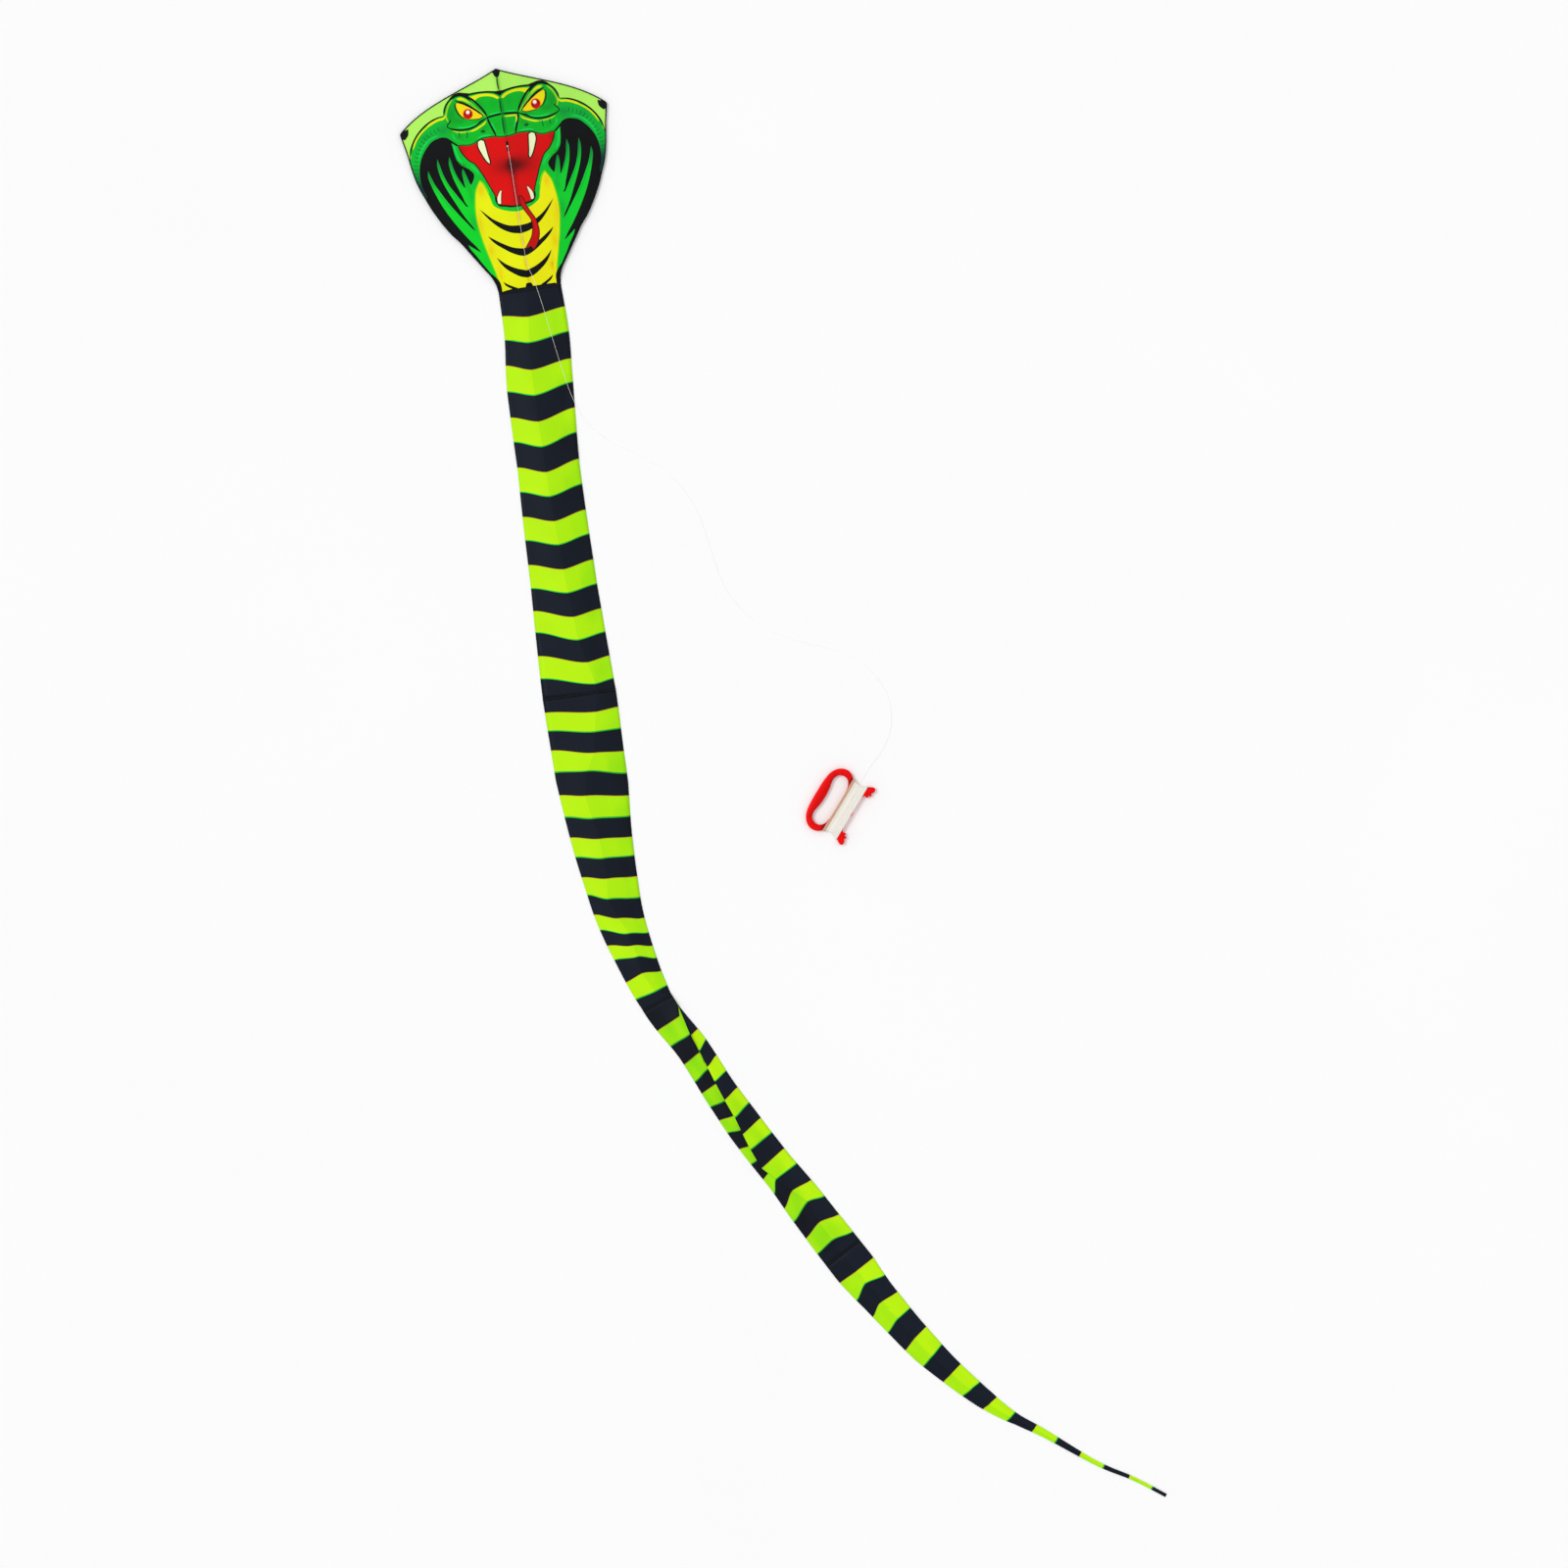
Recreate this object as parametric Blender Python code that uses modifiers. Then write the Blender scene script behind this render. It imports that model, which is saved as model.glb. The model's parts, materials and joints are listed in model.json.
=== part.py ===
"""Cobra kite laid flat on its back: hood on a spine and two half spars, striped tail, line and winder.

Metres, +Z up. The spine runs along Y with the nose towards +Y, and the tail trails towards -Y.
Shapes are set out from the neck, where hood and tail are sewn together. The empty "kite_neck"
carries that point to its place, so that the whole kite is centred on the origin.
"""

import math

import bmesh
import bpy
from mathutils import Vector

# Place of the neck, so that the origin is at the middle of the kite's footprint
NECK_X = -0.5216
NECK_Y = 1.6401

GAP = 0.0004
ROUND_SIDES = 20

# Hood, set out on a grid of 3 mm squares with the neck at (0, 0) and the nose at (0, 225)
GRID = 0.003
NOSE = (0, 225)
HOOD_SIDE = [
    (106, 173), (105, 165), (103, 155), (101.5, 145), (100, 135), (98, 125), (95, 115),
    (91, 105), (87, 95), (82, 85), (76.5, 75), (70, 65), (62, 55), (55.5, 45), (49, 35),
    (43.6, 27),
]  # fmt: skip
NECK_SIDE = [(43.2, 26.2), (36, 15), (33, 7), (32, 2)]
CLOTH = 0.001
SAIL_Z = 0.0085
EDGE_TAPE = 0.005
CENTRE_HALF = 0.004
WING_START = 0.0045
TIP_POCKET = (0.030, 0.036)
TIP_DROP = 0.0015

# Frame rods and fittings
SPINE_RADIUS = 0.002
SPINE_Z = 0.004
SPINE_ENDS = (0.052, 0.664)
POCKET_CLOTH = 0.0005
POCKET_Z = 0.0003
SPAR_RADIUS = 0.00175
SPAR_BELOW_SAIL = 0.0042
SPAR_END_X = 0.304
CROSSING_Y = 0.512
HUB_SIZE = (0.0128, 0.020, 0.0072)
SOCKET_START = 0.0072
SOCKET_LENGTH = 0.030
SOCKET_RADIUS = 0.0031
CAP_LENGTH = 0.014
CAP_WALL = 0.0006
SLEEVE_UPPER = (0.526, 0.640)
SLEEVE_LOWER = (0.092, 0.498)

# Tow point on the spine, where the flying line is tied
TOW_Y = 0.438
TOW_PATCH = (0.0074, 0.030, 0.0006)
EYELET_RADIUS = 0.0023
EYELET_WIRE = 0.0006
KNOT_RADII = (0.0011, 0.0016, 0.0011)

# Tail: centre line, then half width against the distance from the neck
TAIL_PATH = [
    (0, 0), (-0.001, -0.150), (-0.015, -0.306), (-0.029, -0.605), (-0.036, -0.906), (-0.041, -1.266),
    (-0.043, -1.626), (-0.036, -1.806), (-0.017, -1.986), (0.049, -2.218),
    (0.136, -2.377), (0.208, -2.541), (0.291, -2.700), (0.379, -2.855),
    (0.495, -3.066), (0.586, -3.222), (0.720, -3.421), (0.881, -3.601),
    (1.024, -3.710), (1.165, -3.822), (1.268, -3.885), (1.358, -3.951),
]  # fmt: skip
TAIL_HALF_WIDTH = [
    (0, 0.096), (0.3, 0.102), (0.54, 0.095), (0.9, 0.101), (1.26, 0.113), (1.5, 0.109),
    (1.62, 0.097), (1.8, 0.081), (1.92, 0.0705), (2.1, 0.0585), (2.22, 0.0505),
    (2.4, 0.0495), (2.58, 0.051), (2.7, 0.0555), (2.88, 0.0555), (3.0, 0.0615),
    (3.12, 0.064), (3.24, 0.065), (3.36, 0.056), (3.48, 0.051), (3.6, 0.047),
    (3.72, 0.0375), (3.84, 0.030), (3.96, 0.016), (4.08, 0.011), (4.2, 0.0075),
    (4.32, 0.006), (4.5, 0.005),
]  # fmt: skip
SEAMS = (1.254, 2.235, 3.189)
CROWNS = (0.006, 0.008, 0.030, 0.012)
TAIL_CLOTH = 0.0012
STATION = 0.045
SEAM_TAPE = 0.014
HINGE_GAP = 0.0011
TIP_LENGTH = 0.040

# Winder, set out on a grid of 0.7 mm squares: first number along it, second towards its horns
WINDER_GRID = 0.0007
WINDER_PLACE = (0.698, -1.714)
WINDER_TURN = math.radians(230.2)
WINDER_THICK = 0.012
WINDER_EDGE = 0.0025
WINDER_OUTLINE = [
    (0, -124), (-60, -122.5), (-100, -116), (-128, -101), (-144, -82), (-151, -57),
    (-148, -40), (-140, -25), (-127, -12), (-118, 4), (-115, 20), (-120, 38),
    (-130, 56), (-141, 72), (-145, 82), (-141, 91), (-131, 94), (-122, 91),
    (-116, 86), (-109, 91), (-102, 89), (-102, 82), (-106, 75), (-98, 81),
    (-91, 80), (-91, 69), (-92, 64), (-82, 59), (-45, 57), (-8, 57.5), (6, 61.5), (20, 57.5), (50, 57),
    (82, 59), (92, 64), (91, 69), (91, 80), (98, 81), (106, 75), (102, 82),
    (102, 89), (109, 91), (116, 86), (122, 91), (131, 94), (141, 91), (145, 82),
    (141, 72), (130, 56), (120, 38), (115, 20), (118, 4), (127, -12), (140, -25),
    (148, -40), (151, -57), (144, -82), (128, -101), (100, -116), (60, -122.5),
]  # fmt: skip
FINGER_GAP = [
    (0, -79.5), (-45, -83), (-82, -89), (-104, -83), (-117, -68), (-120, -52),
    (-114, -35), (-100, -23), (-80, -17.5), (80, -17.5), (100, -23), (114, -35),
    (120, -52), (117, -68), (104, -83), (82, -89), (45, -83),
]  # fmt: skip
WINDING_ENDS = [(-11, 131), (0, 124), (10, 120), (20, 119), (31, 121.5), (44, 127.5), (55, 133)]
WINDING_DEPTH = 0.003

# Flying line
LINE_RADIUS = 0.00045
LINE_ROUTE = [
    (0.0005, 0.4360), (0.001, 0.405), (0.0012, 0.340), (0.0013, 0.270), (0.0014, 0.200),
    (0.0018, 0.130), (0.0021, 0.100), (0.0031, 0.080), (0.0078, 0.055), (0.017, 0.020),
    (0.031, -0.060), (0.045, -0.160), (0.060, -0.260), (0.078, -0.352), (0.108, -0.430),
    (0.170, -0.500), (0.255, -0.560), (0.345, -0.640), (0.400, -0.750), (0.425, -0.880),
    (0.455, -1.010), (0.530, -1.120), (0.640, -1.190), (0.755, -1.240), (0.845, -1.310),
    (0.890, -1.400), (0.888, -1.490), (0.852, -1.560), (0.8048, -1.6078), (0.7792, -1.6385),
    (0.7627, -1.6583),
]  # fmt: skip
LINE_POINTS = 80
LINE_CLEARANCE = 0.0004
# Height of the line's bed over the slope from the tail up to the hood, against distance from the neck
LINE_BED = [(0, 0.0012), (0.006, 0.0024), (0.021, 0.0062), (0.035, 0.0090), (0.045, 0.0102),
            (0.060, 0.0102), (0.080, 0.0094), (0.100, 0.0090)]  # fmt: skip

SLOTS = {
    "ripstop_print": ((0.03, 0.55, 0.08), 0.55, 0.0),
    "ripstop_tail": ((0.45, 0.85, 0.0), 0.55, 0.0),
    "black_tape": ((0.01, 0.012, 0.02), 0.7, 0.0),
    "fibreglass": ((0.02, 0.02, 0.02), 0.35, 0.0),
    "vinyl": ((0.03, 0.03, 0.03), 0.45, 0.0),
    "brass": ((0.75, 0.55, 0.25), 0.3, 1.0),
    "red_plastic": ((0.8, 0.0, 0.0), 0.3, 0.0),
    "line": ((0.85, 0.82, 0.75), 0.7, 0.0),
}


def material(slot):
    """The slot's material, made when a piece first asks for it."""
    found = bpy.data.materials.get(slot)
    if found:
        return found
    color, roughness, metallic = SLOTS[slot]
    made = bpy.data.materials.new(slot)
    made.use_nodes = True
    shader = made.node_tree.nodes["Principled BSDF"]
    shader.inputs["Base Color"].default_value = (*color, 1)
    shader.inputs["Roughness"].default_value = roughness
    shader.inputs["Metallic"].default_value = metallic
    return made


def add(name, data, slot, parent, location=(0, 0, 0), rotation=(0, 0, 0)):
    """A named sub-part of the kite, placed under its body's empty."""
    piece = bpy.data.objects.new(name, data)
    data.materials.append(material(slot))
    bpy.data.collections["cobra_kite"].objects.link(piece)
    piece.parent = parent
    piece.location = location
    piece.rotation_euler = rotation
    return piece


def joint(name, parent, location, rotation=(0, 0, 0)):
    """An empty on a joint's axis, which its body's pieces are parented to."""
    empty = bpy.data.objects.new(name, None)
    empty.empty_display_size = 0.05
    bpy.data.collections["cobra_kite"].objects.link(empty)
    empty.parent = parent
    empty.location = location
    empty.rotation_euler = rotation
    return empty


def on_grid(points, side=1):
    """Grid squares to metres, on the right (side 1) or mirrored to the left (side -1)."""
    return [Vector((side * x * GRID, y * GRID)) for x, y in points]


def inset(points, distance):
    """The open line moved sideways by the distance, to the right of its own direction."""
    moved = []
    for index, point in enumerate(points):
        before = points[max(index - 1, 0)]
        after = points[min(index + 1, len(points) - 1)]
        along = (after - before).normalized()
        moved.append(point + Vector((along.y, -along.x)) * distance)
    return moved


def trim(points, start, end):
    """The stretch of the open line between two distances from its first point."""
    kept = []
    travelled = 0.0
    for first, second in zip(points, points[1:]):
        length = (second - first).length
        for wanted in (start, end):
            if travelled <= wanted < travelled + length:
                kept.append((wanted, first.lerp(second, (wanted - travelled) / length)))
        travelled += length
        if start < travelled <= end:
            kept.append((travelled, second))
    return [point for _, point in sorted(kept, key=lambda item: item[0])]


def length_of(points):
    return sum((second - first).length for first, second in zip(points, points[1:]))


def flat_piece(name, outlines, thickness, z, slot, parent, bevel=0.0, smooth=False):
    """A flat piece cut to one outline, with any further outlines as holes."""
    curve = bpy.data.curves.new(name, "CURVE")
    curve.dimensions = "2D"
    curve.fill_mode = "BOTH"
    curve.extrude = thickness / 2 - bevel
    curve.bevel_depth = bevel
    curve.offset = -bevel
    curve.bevel_resolution = 1
    curve.resolution_u = 3
    for outline in outlines:
        spline = curve.splines.new("BEZIER" if smooth else "POLY")
        points = spline.bezier_points if smooth else spline.points
        points.add(len(outline) - 1)
        for point, place in zip(points, outline):
            if smooth:
                point.co = (*place, 0)
                point.handle_left_type = point.handle_right_type = "AUTO"
            else:
                point.co = (*place, 0, 1)
        spline.use_cyclic_u = True
    return add(name, curve, slot, parent, (0, 0, z))


def turned(name, profile, slot, parent, location, rotation):
    """A solid turned about its own Z from a profile of (radius, height) points."""
    mesh = bpy.data.meshes.new(name)
    ends_on_axis = profile[0][0] == 0
    edges = [(index, index + 1) for index in range(len(profile) - 1)]
    if not ends_on_axis:
        edges.append((len(profile) - 1, 0))
    mesh.from_pydata([(radius, 0, height) for radius, height in profile], edges, [])
    piece = add(name, mesh, slot, parent, location, rotation)
    screw = piece.modifiers.new("turn", "SCREW")
    screw.axis = "Z"
    screw.steps = screw.render_steps = ROUND_SIDES
    screw.use_merge_vertices = True
    screw.merge_threshold = 0.00001
    screw.use_smooth_shade = False
    return piece


def rod(name, radius, length, slot, parent, location, rotation):
    profile = [(0, length), (radius, length), (radius, 0), (0, 0)]
    return turned(name, profile, slot, parent, location, rotation)


def sleeve_tube(name, inner, outer, length, slot, parent, location, rotation):
    profile = [(outer, length), (outer, 0), (inner, 0), (inner, length)]
    return turned(name, profile, slot, parent, location, rotation)


def end_cap(name, rod_radius, slot, parent, location, rotation):
    """A soft cup pushed over a rod's end: open at its own Z of 0, rounded at its far end."""
    inner = rod_radius + GAP
    outer = inner + CAP_WALL
    profile = [
        (0, CAP_LENGTH),
        (outer * 0.55, CAP_LENGTH - outer * 0.12),
        (outer * 0.9, CAP_LENGTH - outer * 0.45),
        (outer, CAP_LENGTH - outer),
        (outer, 0),
        (inner, 0),
        (inner, CAP_LENGTH - 0.003),
        (0, CAP_LENGTH - 0.003),
    ]
    return turned(name, profile, slot, parent, location, rotation)


def thick_sheet(name, rows, thickness, slot, parent):
    """A cloth strip lofted over rows of points, thickened to the upper side."""
    across = len(rows[0])
    points = [point for row in rows for point in row]
    faces = []
    for row in range(len(rows) - 1):
        for column in range(across - 1):
            corner = row * across + column
            faces.append((corner, corner + across, corner + across + 1, corner + 1))
    mesh = bpy.data.meshes.new(name)
    mesh.from_pydata(points, [], faces)
    piece = add(name, mesh, slot, parent)
    solidify = piece.modifiers.new("cloth", "SOLIDIFY")
    solidify.thickness = thickness
    solidify.offset = 1
    return piece


def smooth_curve(points, steps=24):
    """Points on a Catmull-Rom curve through the given ones."""
    ends = [points[0] * 2 - points[1], *points, points[-1] * 2 - points[-2]]
    found = []
    for index in range(1, len(ends) - 2):
        before, first, second, after = ends[index - 1 : index + 3]
        for step in range(steps):
            t = step / steps
            found.append(
                0.5
                * (
                    2 * first
                    + (second - before) * t
                    + (2 * before - 5 * first + 4 * second - after) * t**2
                    + (3 * first - before - 3 * second + after) * t**3
                )
            )
    return [*found, points[-1]]


def at_distance(points, wanted):
    """Place and direction on a line of points at a distance from its start."""
    travelled = 0.0
    for first, second in zip(points, points[1:]):
        length = (second - first).length
        if travelled + length >= wanted:
            return first.lerp(second, (wanted - travelled) / length), (second - first).normalized()
        travelled += length
    return points[-1], (points[-1] - points[-2]).normalized()


def between(table, at):
    """The table's value at a distance, straight between its rows."""
    for (low, first), (high, second) in zip(table, table[1:]):
        if at <= high:
            return first + (second - first) * (at - low) / (high - low)
    return table[-1][1]


# ---------------------------------------------------------------- frame
def build_frame(body):
    along_y = (-math.pi / 2, 0, 0)
    back_y = (math.pi / 2, 0, 0)
    low, high = SPINE_ENDS
    rod("spine_rod", SPINE_RADIUS, high - low, "fibreglass", body, (0, low, SPINE_Z), along_y)
    cap_reach = CAP_LENGTH - 0.003 - GAP
    end_cap("nose_cap", SPINE_RADIUS, "vinyl", body, (0, high - cap_reach, SPINE_Z), along_y)
    end_cap("neck_cap", SPINE_RADIUS, "vinyl", body, (0, low + cap_reach, SPINE_Z), back_y)
    build_hub(body)
    build_sleeve("spine_sleeve_lower", *SLEEVE_LOWER, body)
    build_sleeve("spine_sleeve_upper", *SLEEVE_UPPER, body)


def build_hub(body):
    """The moulded cross fitting, drilled for the spine, that the half spars meet."""
    mesh = bpy.data.meshes.new("spar_hub")
    shape = bmesh.new()
    bmesh.ops.create_cube(shape, size=1)
    bmesh.ops.scale(shape, vec=HUB_SIZE, verts=shape.verts)
    shape.to_mesh(mesh)
    shape.free()
    hub = add("spar_hub", mesh, "vinyl", body, (0, CROSSING_Y, SPINE_Z))
    bevel = hub.modifiers.new("soft_edges", "BEVEL")
    bevel.width = 0.0012
    bevel.segments = 2
    bpy.ops.mesh.primitive_cylinder_add(
        vertices=ROUND_SIDES, radius=SPINE_RADIUS + GAP, depth=HUB_SIZE[1] * 2
    )
    drill = bpy.context.object
    drill.name = "spine_drill"
    drill.rotation_euler = (math.pi / 2, 0, 0)
    drill.location = (0, CROSSING_Y, SPINE_Z)
    drill.parent = body
    drill.hide_render = True
    drill.display_type = "WIRE"
    for home in list(drill.users_collection):
        home.objects.unlink(drill)
    bpy.data.collections["cutters"].objects.link(drill)
    cut = hub.modifiers.new("spine_hole", "BOOLEAN")
    cut.operation = "DIFFERENCE"
    cut.object = drill


def build_sleeve(name, start, end, body):
    """The cloth channel that holds the spine against the back of the sail."""
    section = [
        (-0.0036, 0.0075), (-0.0032, 0.004), (-0.0018, 0.0013),
        (0.0018, 0.0013), (0.0032, 0.004), (0.0036, 0.0075),
    ]  # fmt: skip
    rows = [[(x, y, z) for x, z in section] for y in (start, (start + end) / 2, end)]
    thick_sheet(name, rows, 0.0005, "ripstop_print", body)


def build_centre(body):
    """The dark binding over the spine, and the sloping cloth between the wings and the neck."""
    nose_y = NOSE[1] * GRID
    start = NECK_SIDE[0][1] * GRID + 2 * GAP + 0.0024
    tape = [
        (-CENTRE_HALF, start), (CENTRE_HALF, start),
        (CENTRE_HALF, nose_y - 0.004), (0, nose_y), (-CENTRE_HALF, nose_y - 0.004),
    ]  # fmt: skip
    flat_piece("centre_binding", [tape], CLOTH, SAIL_Z, "black_tape", body)
    under_sail = SAIL_Z - CLOTH / 2
    heights = [under_sail, under_sail, 0.0042, 0.0004]
    rows = []
    for (half, y), height in zip(NECK_SIDE, heights):
        rows.append([(half * GRID * side, y * GRID, height) for side in (-1, 0, 1)])
    thick_sheet("neck_panel", rows, CLOTH, "ripstop_print", body)
    for name, outline in (
        ("neck_pocket", rectangle(0, 0.060, 0.030, 0.024)),
        ("nose_pocket", rectangle(0, 0.655, 0.018, 0.026)),
    ):
        flat_piece(name, [outline], POCKET_CLOTH, POCKET_Z, "black_tape", body)


def rectangle(x, y, width, height):
    return [
        (x - width / 2, y - height / 2),
        (x + width / 2, y - height / 2),
        (x + width / 2, y + height / 2),
        (x - width / 2, y + height / 2),
    ]


def build_tow_point(body):
    top = SAIL_Z + CLOTH / 2
    patch_z = top + GAP + TOW_PATCH[2] / 2
    flat_piece(
        "tow_patch", [rectangle(0, TOW_Y, *TOW_PATCH[:2])], TOW_PATCH[2], patch_z, "black_tape", body
    )
    eyelet_z = top + 2 * GAP + TOW_PATCH[2] + EYELET_WIRE
    bpy.ops.mesh.primitive_torus_add(
        major_radius=EYELET_RADIUS,
        minor_radius=EYELET_WIRE,
        major_segments=ROUND_SIDES,
        minor_segments=8,
        location=(0, TOW_Y, eyelet_z),
    )
    adopt("tow_eyelet", "brass", body)
    bpy.ops.mesh.primitive_uv_sphere_add(
        segments=12, ring_count=8, radius=1, location=(0, TOW_Y, eyelet_z + 0.0006), scale=KNOT_RADII
    )
    adopt("line_knot", "line", body)


def adopt(name, slot, parent):
    """Takes the primitive just added as a named sub-part."""
    piece = bpy.context.object
    for home in list(piece.users_collection):
        home.objects.unlink(piece)
    piece.name = name
    piece.data.name = name
    piece.data.materials.append(material(slot))
    piece.parent = parent
    bpy.data.collections["cobra_kite"].objects.link(piece)
    return piece


# ---------------------------------------------------------------- wings
def build_wing(name, side, body):
    """Half the hood, with its edge bindings, tip pocket and half spar, flat in its own XY plane."""
    nose, tip = on_grid([NOSE, HOOD_SIDE[0]], side=side)
    top_edge = [nose.lerp(tip, (WING_START / abs(tip.x))), tip]
    side_edge = on_grid(HOOD_SIDE, side=side)
    full_top = length_of(top_edge)
    full_side = length_of(side_edge)
    pocket_top, pocket_side = TIP_POCKET

    def strip(edge, start, end):
        outer = trim(edge, start, end)
        return outer + inset(outer, side * EDGE_TAPE)[::-1]

    top_strip = strip(top_edge, EDGE_TAPE * 0.8, full_top - pocket_top - GAP)
    side_strip = strip(side_edge, pocket_side + GAP, full_side)
    flat_piece(f"top_binding_{name}", [top_strip], CLOTH, 0, "black_tape", body)
    flat_piece(f"side_binding_{name}", [side_strip], CLOTH, 0, "black_tape", body)

    corner_top = trim(top_edge, full_top - pocket_top, full_top)[0]
    corner_side = trim(side_edge, 0.0, pocket_side)
    flat_piece(
        f"tip_pocket_{name}", [[corner_top, *corner_side]], 0.0016, 0, "black_tape", body
    )

    sail_inset = side * (EDGE_TAPE + GAP)
    top_line = inset(trim(top_edge, 0.0, full_top - pocket_top - GAP), sail_inset)
    side_line = inset(trim(side_edge, pocket_side + GAP, full_side), sail_inset)
    cut_along = (side_line[0] - top_line[-1]).normalized()
    clear = Vector((cut_along.y, -cut_along.x)) * side * 0.004
    inner_x = side * WING_START
    share = (inner_x - top_line[0].x) / (top_line[-1].x - top_line[0].x)
    sail = [
        Vector((inner_x, side_line[-1].y)),
        top_line[0].lerp(top_line[-1], share),
        top_line[-1] + clear,
        side_line[0] + clear,
        *side_line[1:],
    ]
    flat_piece(f"hood_panel_{name}", [sail], CLOTH, 0, "ripstop_print", body)
    build_half_spar(name, side, body)


def build_half_spar(name, side, body):
    """The half spar runs from the hub to the tip pocket, with a vinyl socket and an end cap."""
    start = Vector((side * (SOCKET_START + GAP), CROSSING_Y, -SPAR_BELOW_SAIL))
    end = Vector((side * SPAR_END_X, HOOD_SIDE[0][1] * GRID - 0.004, -0.0038))
    along = end - start
    turn = along.to_track_quat("Z", "Y").to_euler()
    rod(f"cross_spar_{name}", SPAR_RADIUS, along.length, "fibreglass", body, start, turn)
    sleeve_tube(
        f"spar_socket_{name}", SPAR_RADIUS + GAP, SOCKET_RADIUS, SOCKET_LENGTH, "vinyl",
        body, start, turn,
    )  # fmt: skip
    cap_at = end - along.normalized() * (CAP_LENGTH - 0.003 - GAP)
    end_cap(f"tip_cap_{name}", SPAR_RADIUS, "vinyl", body, cap_at, turn)


# ---------------------------------------------------------------- tail
def tail_frame(centre, distance):
    """Middle of the tail, its direction and its half width, at a distance from the neck."""
    place, along = at_distance(centre, distance)
    return place, along, between(TAIL_HALF_WIDTH, distance)


def tail_rows(centre, start, end, crown):
    """Rows of points over one length of tail, raised along the middle by the crown."""
    count = max(2, round((end - start) / STATION))
    rows = []
    for step in range(count + 1):
        t = step / count
        place, along, half = tail_frame(centre, start + (end - start) * t)
        across = Vector((along.y, -along.x))
        height = crown * math.sin(math.pi * t) ** 0.8
        row = []
        for share in (-1, -0.5, 0, 0.5, 1):
            point = place - across * half * share
            row.append((point.x, point.y, height * (1 - abs(share))))
        rows.append(row)
    return rows


def shifted(rows, origin):
    return [[(x - origin.x, y - origin.y, z - origin.z) for x, y, z in row] for row in rows]


def build_tail(root):
    """Four sewn lengths: the first stays with the hood, and each later one hinges at its seam."""
    centre = smooth_curve([Vector(point) for point in TAIL_PATH])
    full = length_of(centre)
    limits = [0.0, *SEAMS, full]
    body = root
    origin = Vector((0, 0, 0))
    for number in range(4):
        start = limits[number] + (SEAM_TAPE / 2 if number == 0 else HINGE_GAP)
        end = limits[number + 1] - HINGE_GAP - SEAM_TAPE - GAP
        if number == 3:
            end = full - TIP_LENGTH - GAP
        rows = tail_rows(centre, start + GAP, end, CROWNS[number])
        thick_sheet(f"tail_panel_{number + 1}", shifted(rows, origin), TAIL_CLOTH, "ripstop_tail", body)
        if number == 3:
            tip_rows = tail_rows(centre, full - TIP_LENGTH, full, 0.0)
            thick_sheet("tail_tip", shifted(tip_rows, origin), TAIL_CLOTH, "black_tape", body)
            break
        seam = limits[number + 1]
        tape_rows = tail_rows(centre, seam - HINGE_GAP - SEAM_TAPE, seam - HINGE_GAP, 0.0)
        thick_sheet(f"tail_seam_{number + 1}", shifted(tape_rows, origin), TAIL_CLOTH, "black_tape", body)
        place, _ = at_distance(centre, seam)
        hinge_at = Vector((place.x, place.y, TAIL_CLOTH / 2))
        body = joint(f"tail_hinge_{number + 1}", body, hinge_at - origin)
        origin = hinge_at
    neck_rows = tail_rows(centre, -0.005, SEAM_TAPE / 2, 0.0)
    thick_sheet("neck_seam", neck_rows, TAIL_CLOTH, "black_tape", root)
    return centre


# ---------------------------------------------------------------- winder and line
def build_winder(body):
    """One flat moulding with a finger gap and two pronged horns, and the line wound over its waist."""
    middle = WINDING_DEPTH + GAP + WINDER_THICK / 2
    outline = [Vector(point) * WINDER_GRID for point in WINDER_OUTLINE]
    finger_gap = [Vector(point) * WINDER_GRID for point in FINGER_GAP]
    frame = flat_piece(
        "winder_frame", [outline, finger_gap], WINDER_THICK, middle, "red_plastic", body,
        bevel=WINDER_EDGE, smooth=True,
    )  # fmt: skip
    frame.data.bevel_resolution = 2
    build_winding(body, middle)


def build_winding(body, middle):
    """The wound line as one sleeve round the waist: a loft of ring sections, longer at its sides."""
    inner_half = WINDER_THICK / 2 + GAP
    outer_half = inner_half + WINDING_DEPTH
    shape = bmesh.new()
    rings = []
    for across, reach in WINDING_ENDS:
        ring = []
        for grown, half in ((WINDING_DEPTH, outer_half), (0.0, inner_half)):
            ring.append(ring_section(shape, across * WINDER_GRID, reach * WINDER_GRID + grown, half, middle))
        rings.append(ring)
    for first, second in zip(rings, rings[1:]):
        bridge(shape, first[0], second[0])
        bridge(shape, second[1], first[1])
    bridge(shape, rings[0][1], rings[0][0])
    bridge(shape, rings[-1][0], rings[-1][1])
    bmesh.ops.recalc_face_normals(shape, faces=shape.faces)
    mesh = bpy.data.meshes.new("line_winding")
    shape.to_mesh(mesh)
    shape.free()
    add("line_winding", mesh, "line", body)


def ring_section(shape, across, reach, half, middle):
    """One turn's outline: flat above and below, rounded round both ends."""
    corner = half * 0.6
    points = []
    for end in (1, -1):
        for step in range(7):
            angle = math.pi / 2 - math.pi * step / 6
            x = reach - corner + corner * math.cos(angle)
            z = half * math.sin(angle)
            points.append((end * x, end * z))
    return [shape.verts.new((x, across, middle + z)) for x, z in points]


def bridge(shape, first, second):
    count = len(first)
    for index in range(count):
        after = (index + 1) % count
        shape.faces.new((first[index], first[after], second[after], second[index]))


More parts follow.
